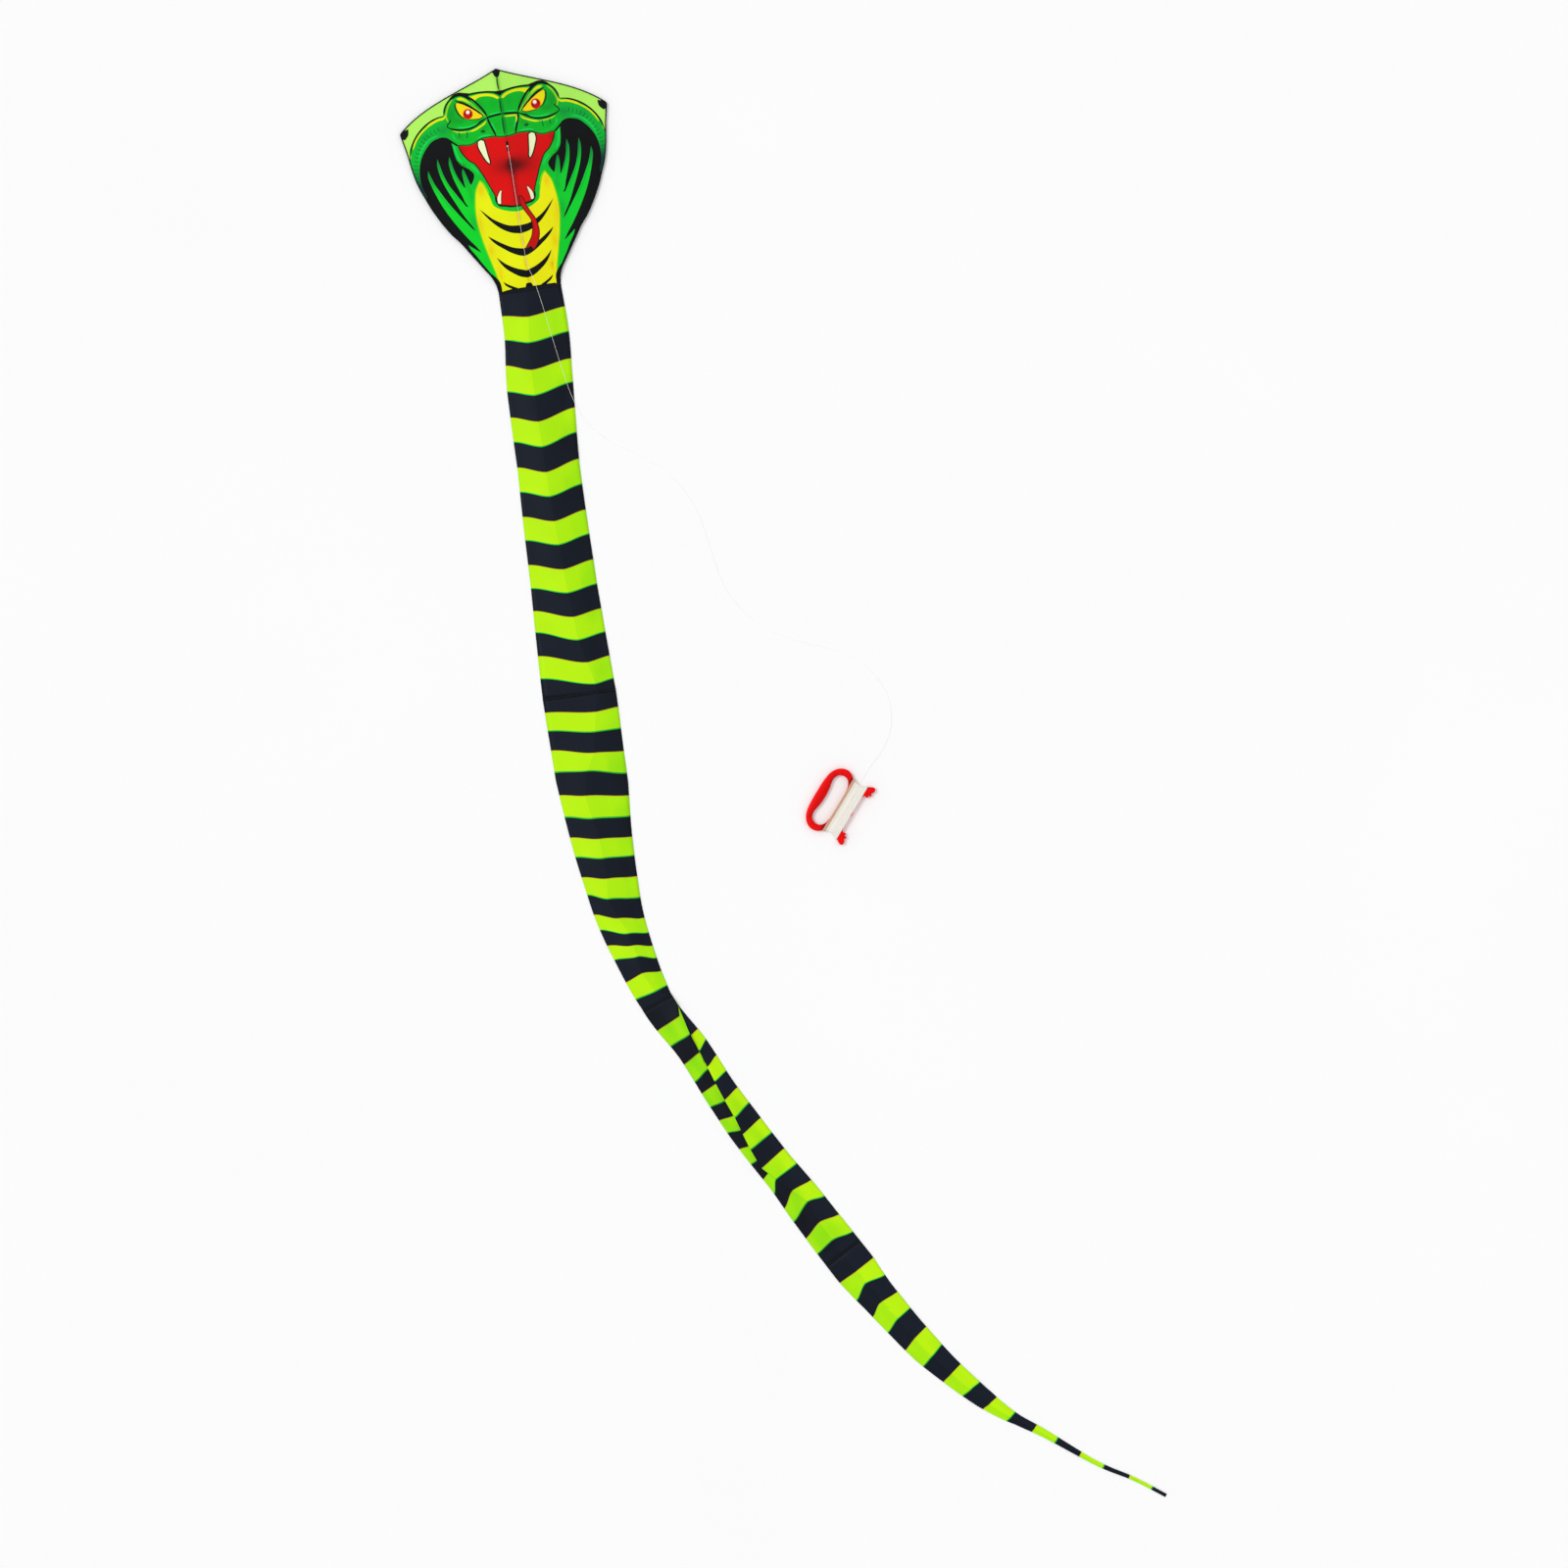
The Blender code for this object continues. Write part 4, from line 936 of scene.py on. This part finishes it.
# Soft shade in the print: middle across and down, reach across and down, strength
SHADE_SPOTS = [
    (52, 38, 5, 9, 0.45), (44, 46, 6, 3, 0.45), (25, 49, 6, 1.6, 0.5), (62, 53, 7, 5, 0.35),
    (80, 58, 7, 4, 0.25), (46, 62, 5, 3, 0.25), (20, 57, 4, 2.5, 0.35), (8, 33, 4, 5, 0.2),
    (22, 34, 4, 6, 0.25), (0, 38, 1.6, 12, 0.5), (0, 57, 1.4, 9, 0.5), (7, 56, 4, 5, 0.15),
    (34, 119, 3, 6, 0.7), (39, 152, 2.6, 10, 0.6), (33, 181, 3.4, 7, 0.6), (27, 205, 3, 7, 0.6),
    (0, 151, 1.8, 5, 0.6), (0, 176, 1.8, 5, 0.6), (0, 199, 1.8, 5, 0.6), (0, 217, 1.8, 3, 0.6),
    (47, 77, 3, 5, 0.35), (44, 124, 3, 8, 0.3), (46, 150, 3, 9, 0.3),
]  # fmt: skip
FLAME_TIPS = [(44, 97), (49, 94), (60, 81), (73, 81), (85, 92)]
# The eye's rings: ink, radius, and middle
IRIS_RINGS = [
    ("orange", 5.2, 35, 40.4), ("iris", 4.6, 35, 40.5), ("pupil", 3.7, 34.8, 39.9),
    ("iris", 2.6, 35.4, 42.2),
]  # fmt: skip
SCALE_RIM = [(66, 51), (78, 56), (87, 65), (93, 76), (96.5, 90), (96.5, 104)]


def printed_shapes():
    """Every printed shape as an ink and a closed outline, the bottom one first."""
    shapes = []
    for ink, kind, size, points in PRINT:
        add_halves(shapes, ink, kind, size, points)
        if ink == "eye":
            add_irises(shapes)
    add_scales(shapes)
    for ink, kind, size, points in PRINT_ONCE:
        add_shape(shapes, ink, kind, size, points)
    return shapes


def add_halves(shapes, ink, kind, size, points):
    """A shape and its mirror image; a fill that starts and ends on the spine is one shape across it."""
    if kind == "fill" and points[0][0] == points[-1][0] == 0:
        whole = points + [(-u, v) for u, v in points[-2:0:-1]]
        add_shape(shapes, ink, kind, size, whole)
        return
    for side in (1, -1):
        add_shape(shapes, ink, kind, size, [(side * u, v) for u, v in points])


def add_shape(shapes, ink, kind, size, points):
    if kind == "line":
        shapes.append((ink, stroke(points, size)))
        return
    outline = rounded(points)
    if size:
        shapes.append(("black", grown(outline, size / 2)))
        outline = grown(outline, -size / 4)
    shapes.append((ink, outline))


def add_irises(shapes):
    """Both irises as rings of ink, with the glint on the same side of each."""
    for side in (1, -1):
        for ink, radius, x, y in IRIS_RINGS:
            shapes.append((ink, circle(side * x, y, radius, radius * 1.05)))
    for x in (34.2, -34.8):
        shapes.append(("blush", circle(x, 38.7, 2.4)))
        shapes.append(("glint", circle(x, 38.5, 1.7)))


def add_scales(shapes):
    """Rows of small scales along the hood's rim."""
    row = spread(rounded(SCALE_RIM, closed=False), 17)
    for place, along in row:
        across = Vector((along.y, -along.x))
        for side in (1, -1):
            arc = []
            for turn in (0.3, 0.9, 1.6, 2.3, 2.8):
                point = place + across * 2.6 * math.cos(turn) + along * 1.6 * math.sin(turn)
                arc.append((side * point.x, point.y))
            shapes.append(("deep", stroke(arc, 0.6)))


def soft_spot(u, v, middle_u, middle_v, reach_u, reach_v):
    """A soft spot of shade, mirrored to both sides of the spine."""
    return math.exp(-(((abs(u) - middle_u) / reach_u) ** 2) - ((v - middle_v) / reach_v) ** 2)


def hood_shade(u, v):
    """How dark the print is at a place, with painted shade over the whole right half."""
    shade = sum(strength * soft_spot(u, v, *soft) for *soft, strength in SHADE_SPOTS)
    shade += 0.95 * soft_spot(u - 3, v, 0, 99, 17, 8)
    shade += 0.45 * math.exp(-(((u - 0.5) / 3.2) ** 2)) if 92 < v < 140 else 0.0
    shade += 0.6 * math.exp(-((u / 1.8) ** 2)) if v < 22 else 0.0
    shade += max(0.0, min(1.0, (v - 84) / 22)) if abs(u) > 86 else 0.0
    below_tip = v - between(FLAME_TIPS, abs(u))
    if 44 < abs(u) < 86 and below_tip > -3:
        shade += 0.75 * max(0.0, 1 - max(0.0, below_tip) / 26)
    # Painted shade: the whole right half is darker, as if it faced away from the light.
    return max(0.0, min(1.0, shade + (0.13 if u > 0 else 0.0)))


def print_mesh():
    """Triangles of the flat hood, cut along every printed edge, each with the ink on top of it."""
    right = rounded(HOOD_EDGE, closed=False, step=3)
    outline = right + [Vector((-point.x, point.y)) for point in right[:0:-1]]
    shapes = [("lime", outline), *printed_shapes()]
    points, faces = [], []
    for _, shape in shapes:
        if area_of(shape) < 0:
            shape = shape[::-1]
        faces.append(list(range(len(points), len(points) + len(shape))))
        points += shape
    edges = []
    for u in (-SPINE_WELT, 0, SPINE_WELT):
        for v in range(-PRINT_MESH, 231, PRINT_MESH):
            points.append(Vector((u, v)))
            if v > -PRINT_MESH:
                edges.append((len(points) - 2, len(points) - 1))
    for row in range(2, 226, PRINT_MESH):
        for column in range(-105, 106, PRINT_MESH):
            points.append(Vector((column + 0.37, row + 0.21 + (column % 2) * 0.5)))
    found = delaunay_2d_cdt(points, edges, faces, 1, 1e-3)
    dots, triangles, owners = found[0], found[2], found[5]
    kept, inks = [], []
    for triangle, owner in zip(triangles, owners):
        if 0 in owner:
            kept.append(triangle)
            inks.append(shapes[max(owner)][0])
    return dots, kept, inks


def build_hood():
    """Two printed halves that meet on the spine, and the welt sewn over their seam."""
    dots, triangles, inks = print_mesh()
    names = list(INKS)
    cloths = [ripstop(f"print_{name}", INKS[name], INK_DARK.get(name)) for name in names]
    halves = {"left": [], "right": [], "welt": []}
    for triangle, ink in zip(triangles, inks):
        middle = sum(dots[corner].x for corner in triangle) / 3
        halves["left" if middle < 0 else "right"].append((triangle, ink))
        if abs(middle) < SPINE_WELT:
            halves["welt"].append((triangle, ink))
    for part, members in halves.items():
        used = sorted({corner for triangle, _ in members for corner in triangle})
        place = {corner: index for index, corner in enumerate(used)}
        points, flat, shades = [], [], []
        for corner in used:
            u, v = dots[corner]
            x, y = u * SQUARE, (NOSE_SQUARE - v) * SQUARE
            raised = 0.0009 * (1.05 - abs(u) / SPINE_WELT) if part == "welt" else 0.0
            points.append(world(x, y, hood_height(x, y) + raised))
            flat.append((x, y))
            shades.append(hood_shade(u, v))
        faces = [tuple(place[corner] for corner in triangle) for triangle, _ in members]
        chosen = [names.index(ink) for _, ink in members]
        name = "spine_welt" if part == "welt" else f"hood_cloth_{part}"
        cloth = mesh_piece(name, points, faces, cloths, chosen)
        set_cloth_map(cloth, flat)
        set_shade(cloth, shades)
        face_up(cloth)
        thicken(cloth)
        if part == "welt":
            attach(cloth, "frame")
            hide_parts("centre_binding", "neck_panel")
            continue
        wing_blend(cloth)
        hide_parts(f"hood_panel_{part}")


def face_up(piece):
    """Turns the faces so that the printed side is the upper one."""
    if sum(polygon.normal.z for polygon in piece.data.polygons) < 0:
        piece.data.flip_normals()


def wing_blend(piece):
    """Bakes the piece's placement into its mesh."""
    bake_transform(piece)


def edge_path(side, inset=0.0):
    """The hood's edge on one side, from nose to neck, moved inwards by some squares."""
    line = rounded(HOOD_EDGE, closed=False, step=2.0)
    line = [point - normal * inset for point, normal in zip(line, normals_of(line))]
    line = [point for point in line if point.y < 225.5]
    path = []
    for point, _ in spread(line, 260):
        x, y = side * point.x * SQUARE, (NOSE_SQUARE - point.y) * SQUARE
        path.append(world(x, y, hood_height(x, y)))
    return path


def build_edges(tape, thread):
    """The black binding round each half, its stitching and the patch over each spar tip."""
    for name, side in SIDES:
        path = edge_path(side)
        inwards = side * BINDING_WIDTH
        profile = [
            (0.0004 * -side, 0.0), (0, 0.0009), (inwards * 0.5, 0.0010), (inwards, 0.0006),
            (inwards, -0.0004), (0, -0.0007),
        ]  # fmt: skip
        binding = sweep(f"edge_binding_{name}", path, [Vector((0, 0, 1))] * len(path), profile, tape)
        wing_blend(binding)
        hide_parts(f"top_binding_{name}", f"side_binding_{name}")
        seam = stitches(f"edge_stitches_{name}", edge_path(side, 0.85), thread, lift=0.0011)
        wing_blend(seam)
        build_tip_patch(name, side, tape, thread)


def build_tip_patch(name, side, tape, thread):
    """The pocket that holds a spar's tip: a small folded patch with a stitched edge."""
    corners = [(97.6, 46.2), (105.8, 49.4), (106.6, 51), (106.1, 55.2), (102.6, 57), (98.6, 52.5)]
    outline = rounded(corners, step=0.8)
    pocket = patch_piece(f"tip_patch_{name}", outline, side, tape, 0.0016)
    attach(pocket, f"{name}_wing")
    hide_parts(f"tip_pocket_{name}")
    inner = grown(outline, -0.8)
    path = [hood_spot(side * point.x, point.y, 0.0014) for point in inner]
    seam = stitches(f"tip_stitches_{name}", path + path[:1], thread)
    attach(seam, f"{name}_wing")


def hood_spot(u, v, lift=0.0):
    x, y = u * SQUARE, (NOSE_SQUARE - v) * SQUARE
    return world(x, y, hood_height(x, y) + lift)


def patch_piece(name, outline, side, tape, height):
    """A flat patch on the hood with softly rounded edges."""
    rings = [(0.0, -0.0012), (0.0, height * 0.5), (-0.25, height * 0.9), (-0.6, height)]
    points, faces = [], []
    count = len(outline)
    for inset, lift in rings:
        points += [hood_spot(side * point.x, point.y, lift) for point in grown(outline, inset)]
    for ring in range(len(rings) - 1):
        for corner in range(count):
            after = (corner + 1) % count
            start, other = ring * count, (ring + 1) * count
            faces.append((start + corner, start + after, other + after, other + corner))
    faces.append(tuple(range((len(rings) - 1) * count, len(rings) * count)))
    faces.append(tuple(range(count))[::-1])
    return mesh_piece(name, points, faces, [tape])


def build_nose_patch(tape, thread):
    """The black reinforcement at the nose, in two halves that fold with the wings."""
    outline = rounded([(0.05, -0.6), (4.6, 1.2), (3.4, 3.6), (2.0, 6.8), (0.05, 8.0)], step=0.8)
    for name, side in SIDES:
        half = patch_piece(f"nose_patch_{name}", outline, side, tape, 0.0013)
        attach(half, f"{name}_wing")
        path = [hood_spot(side * point.x, point.y, 0.0012) for point in grown(outline, -0.7)]
        seam = stitches(f"nose_stitches_{name}", path + path[:1], thread)
        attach(seam, f"{name}_wing")


def build_spine_stitches(thread):
    for name, side in SIDES:
        path = [hood_spot(side * 1.15, 10 + step, 0.0002) for step in range(0, 206, 3)]
        seam = stitches(f"spine_stitches_{name}", path, thread)
        wing_blend(seam)


# ---------------------------------------------------------------- tail
def tail_rows(number):
    """Distances of a panel's rows, and the colour of the cloth between each two."""
    limits = [0.0, *SEAMS, TAIL_LENGTH]
    start, end = limits[number - 1], limits[number]
    first = start + SEAM_BANDS[number - 1]
    last = end - (SEAM_BANDS[number] if number < 4 else TIP_BAND)
    pitch = (last - first) / STRIPES
    marks = [(start - 0.005 if number == 1 else start, "navy")]
    for stripe in range(STRIPES):
        at = first + stripe * pitch
        if stripe % 2 == 0:
            marks.append((at, "orange_edge"))
            marks.append((at + PIPING * 0.6, "lime"))
            marks.append((at + pitch - PIPING, "green_edge"))
        else:
            marks.append((at, "navy"))
    marks += [(last, "navy"), (end, None)]
    rows = []
    for (at, colour), (after, _) in zip(marks, marks[1:]):
        steps = max(1, round((after - at) / 0.011))
        rows += [(at + (after - at) * step / steps, colour) for step in range(steps)]
    return [*rows, (end, None)]


def build_tail(tape, thread):
    """Four striped lengths of cloth, joined at black seams."""
    # Each cloth's second colour is the one that its shade attribute darkens it towards, for painted shade
    # and random patches.
    colours = {
        "lime": ripstop("tail_lime", (186, 243, 0), (112, 214, 0), uneven=0.05),
        "navy": ripstop("tail_navy", (21, 28, 40), (8, 12, 18), uneven=0.16),
        "green_edge": ripstop("tail_green_edge", (40, 200, 60)),
        "orange_edge": ripstop("tail_orange_edge", (214, 196, 20)),
    }
    names = list(colours)
    parents = ["frame", "tail_2", "tail_3", "tail_4"]
    for number in range(1, 5):
        rows = tail_rows(number)
        points, flat, shades, chosen, faces = [], [], [], [], []
        for distance, _ in rows:
            half = between(TAIL_HALF_WIDTH, distance)
            row = tail_row(distance)
            for place, across, right in row:
                points.append(place)
                flat.append((across * half, distance))
                shades.append(tail_shade(distance, across, right))
        wide = len(row)
        for row in range(len(rows) - 1):
            for column in range(wide - 1):
                corner = row * wide + column
                faces.append((corner, corner + wide, corner + wide + 1, corner + 1))
                chosen.append(names.index(rows[row][1]))
        cloth = mesh_piece(f"tail_cloth_{number}", points, faces, list(colours.values()), chosen)
        set_cloth_map(cloth, flat)
        set_shade(cloth, shades)
        face_up(cloth)
        thicken(cloth)
        tail_ride(cloth, number)
        stood_for = [f"tail_panel_{number}", "tail_tip" if number == 4 else f"tail_seam_{number}"]
        if number == 1:
            stood_for.append("neck_seam")
        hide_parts(*stood_for)
    build_tail_seams(tape, thread, parents)


def tail_ride(piece, number):
    """The first length is attached to the frame, and each later one only has its placement baked into its
    mesh.
    """
    if number == 1:
        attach(piece, "frame")
        return
    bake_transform(piece)


def tail_shade(distance, across, right):
    """Painted shade: darker right of the crease, where the cloth turns away from the light, and in the
    tuck of the third length. Past the tuck the left side is darker, with random patches throughout.
    """
    patchy = 0.5 + noise.noise(Vector((distance * 14, across * 1.6, 2)))
    if TUCK_START < distance < TUCK_END:
        # Painted shade in the tuck, strongest on its left flap.
        return max(0.0, 0.45 * patchy - 0.35 * across) if right else 0.35 + 0.4 * patchy
    if distance > TUCK_END:
        return max(0.0, 0.2 * patchy + (0.2 if across < 0 else -0.1))
    # Painted shade right of the crease, darker still in patches near the right edge.
    return (0.22 if right else 0.0) + 0.22 * patchy * (across > 0.5) + 0.08 * patchy


def build_tail_seams(tape, thread, parents):
    """A raised welt with two rows of stitches over the neck and each seam between lengths."""
    flat_section = [(-0.0035, 0.0), (-0.0028, 0.0007), (0.0028, 0.0007), (0.0035, 0.0), (0.0, -0.0002)]
    for number, distance in enumerate((0.004, *SEAMS), start=1):
        body = parents[0] if number < 3 else parents[number - 2]
        path = across_tail(distance)
        welt = sweep(f"tail_welt_{number}", path, [Vector((0, 0, 1))] * len(path), flat_section, tape)
        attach(welt, body)
        for row, offset in enumerate((-0.0045, 0.0045), start=1):
            seam = stitches(f"tail_stitches_{number}_{row}", across_tail(distance + offset), thread)
            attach(seam, body)


def across_tail(distance):
    """A line over the tail's cloth from edge to edge, just above it."""
    row = tail_row(distance, 16)
    places = [place + Vector((0, 0, 0.0003)) for place, _, _ in row]
    apart = [(second - first).length > 0.001 for first, second in zip(places, places[1:])]
    return places[:1] + [place for place, kept in zip(places[1:], apart) if kept]


# ---------------------------------------------------------------- winder
def build_winder(plastic):
    """The winder as one pillowy moulding: round-edged everywhere, with two pronged horns."""
    outer = rounded(WINDER_OUTLINE, step=2.5, sharp=-0.9)
    gap = rounded(FINGER_GAP, step=3, sharp=-0.9)
    points = outer + gap
    border = kdtree.KDTree(len(points))
    for index, point in enumerate(points):
        border.insert((point.x, point.y, 0), index)
    border.balance()
    faces = [list(range(len(outer)))]
    hole = list(range(len(outer), len(points)))
    edges = [(hole[index - 1], hole[index]) for index in range(len(hole))]
    for inset in (0.5, 1.3, 2.6, 4.4, 6.5):
        for outline, way in ((outer, -1), (gap, 1)):
            for point in grown(outline, way * inset):
                if border.find((point.x, point.y, 0))[2] > inset * 0.85:
                    points.append(point)
    for row in range(-124, 96, 4):
        for column in range(-152, 153, 4):
            point = Vector((column + 2 * (row % 8 == 0), row))
            if border.find((point.x, point.y, 0))[2] > 8:
                points.append(point)
    found = delaunay_2d_cdt(points, edges, faces, 1, 1e-3)
    dots, kept = found[0], []
    for triangle in found[2]:
        middle = sum((dots[corner] for corner in triangle), Vector((0, 0))) / 3
        if not inside(middle, gap):
            kept.append(triangle)
    upper, under = [], []
    for point in dots:
        along, across = point * WINDER_GRID
        depth = border.find((point.x, point.y, 0))[2] * WINDER_GRID
        share = min(1.0, depth / WINDER_ROUNDING)
        height = WINDER_HALF * math.sqrt(max(0.0, 1 - (1 - share) ** 2))
        upper.append(winder_place(along, across, height))
        under.append(winder_place(along, across, -height))
    faces = [tuple(triangle) for triangle in kept]
    faces += [tuple(corner + len(dots) for corner in triangle[::-1]) for triangle in kept]
    winder = mesh_piece("winder_moulding", upper + under, faces, [plastic])
    # Painted shade in the moulding's corners and along its grip.
    set_shade(winder, [winder_shade(point.x, point.y) for point in dots] * 2)
    weld = winder.modifiers.new("edge", "WELD")
    weld.merge_threshold = 0.00002
    face_out(winder)
    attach(winder, "winder")
    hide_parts("winder_frame")


def winder_shade(along, across):
    """Painted shade: darker in the corners where the grip meets the waist, a little along the grip's inner
    side, and along its sides.
    """
    corners = math.exp(-(((abs(along) - 112) / 17) ** 2) - ((across + 20) / 9) ** 2)
    grip = 0.35 * math.exp(-(((across + 94) / 9) ** 2)) if abs(along) < 118 else 0.0
    sides = 0.2 * math.exp(-(((abs(along) - 128) / 8) ** 2)) if -80 < across < -20 else 0.0
    return min(1.0, corners + grip + sides)


def inside(point, outline):
    """True if the point is within the closed outline."""
    crossings = 0
    for first, second in zip(outline, outline[1:] + outline[:1]):
        if (first.y > point.y) != (second.y > point.y):
            reach = first.x + (point.y - first.y) / (second.y - first.y) * (second.x - first.x)
            crossings += reach > point.x
    return crossings % 2 == 1


def face_out(piece):
    """Turns the faces so that the upper half's look up."""
    top = sum(polygon.normal.z * (polygon.center.z - WINDER_MIDDLE) for polygon in piece.data.polygons)
    if top < 0:
        piece.data.flip_normals()


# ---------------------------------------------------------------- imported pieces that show
def finish_packed_pieces(tape):
    """The rods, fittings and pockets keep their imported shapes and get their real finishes."""
    rod = moulded("fibreglass_rod", (24, 24, 26), 0.34, grain=2500.0)
    vinyl = moulded("soft_vinyl", (26, 26, 28), 0.5, grain=1400.0)
    sleeve = woven("sleeve_cloth", (20, 22, 26), 0.0006)
    brass = brushed_metal("brass", (232, 190, 110))
    finishes = {
        "spine_rod": rod, "cross_spar_left": rod, "cross_spar_right": rod, "nose_cap": vinyl,
        "neck_cap": vinyl, "spar_hub": vinyl, "spar_socket_left": vinyl, "spar_socket_right": vinyl,
        "tip_cap_left": vinyl, "tip_cap_right": vinyl, "spine_sleeve_lower": sleeve,
        "spine_sleeve_upper": sleeve, "neck_pocket": tape, "nose_pocket": tape, "tow_patch": tape,
        "tow_eyelet": brass,
    }  # fmt: skip
    for name, made in finishes.items():
        for holder in frame["nodes"][name].material_slots:
            holder.material = made


def main():
    build_camera()
    tape = woven("black_tape", (16, 18, 22))
    thread = woven("sewing_thread", (30, 34, 40), 0.0005, 0.6)
    build_line(twisted_line("flying_line"))
    build_studio()
    build_hood()
    build_edges(tape, thread)
    build_nose_patch(tape, thread)
    build_spine_stitches(thread)
    build_tail(tape, thread)
    build_winder(moulded("red_plastic", (246, 0, 0), 0.40, grain=700.0))
    finish_packed_pieces(tape)


main()
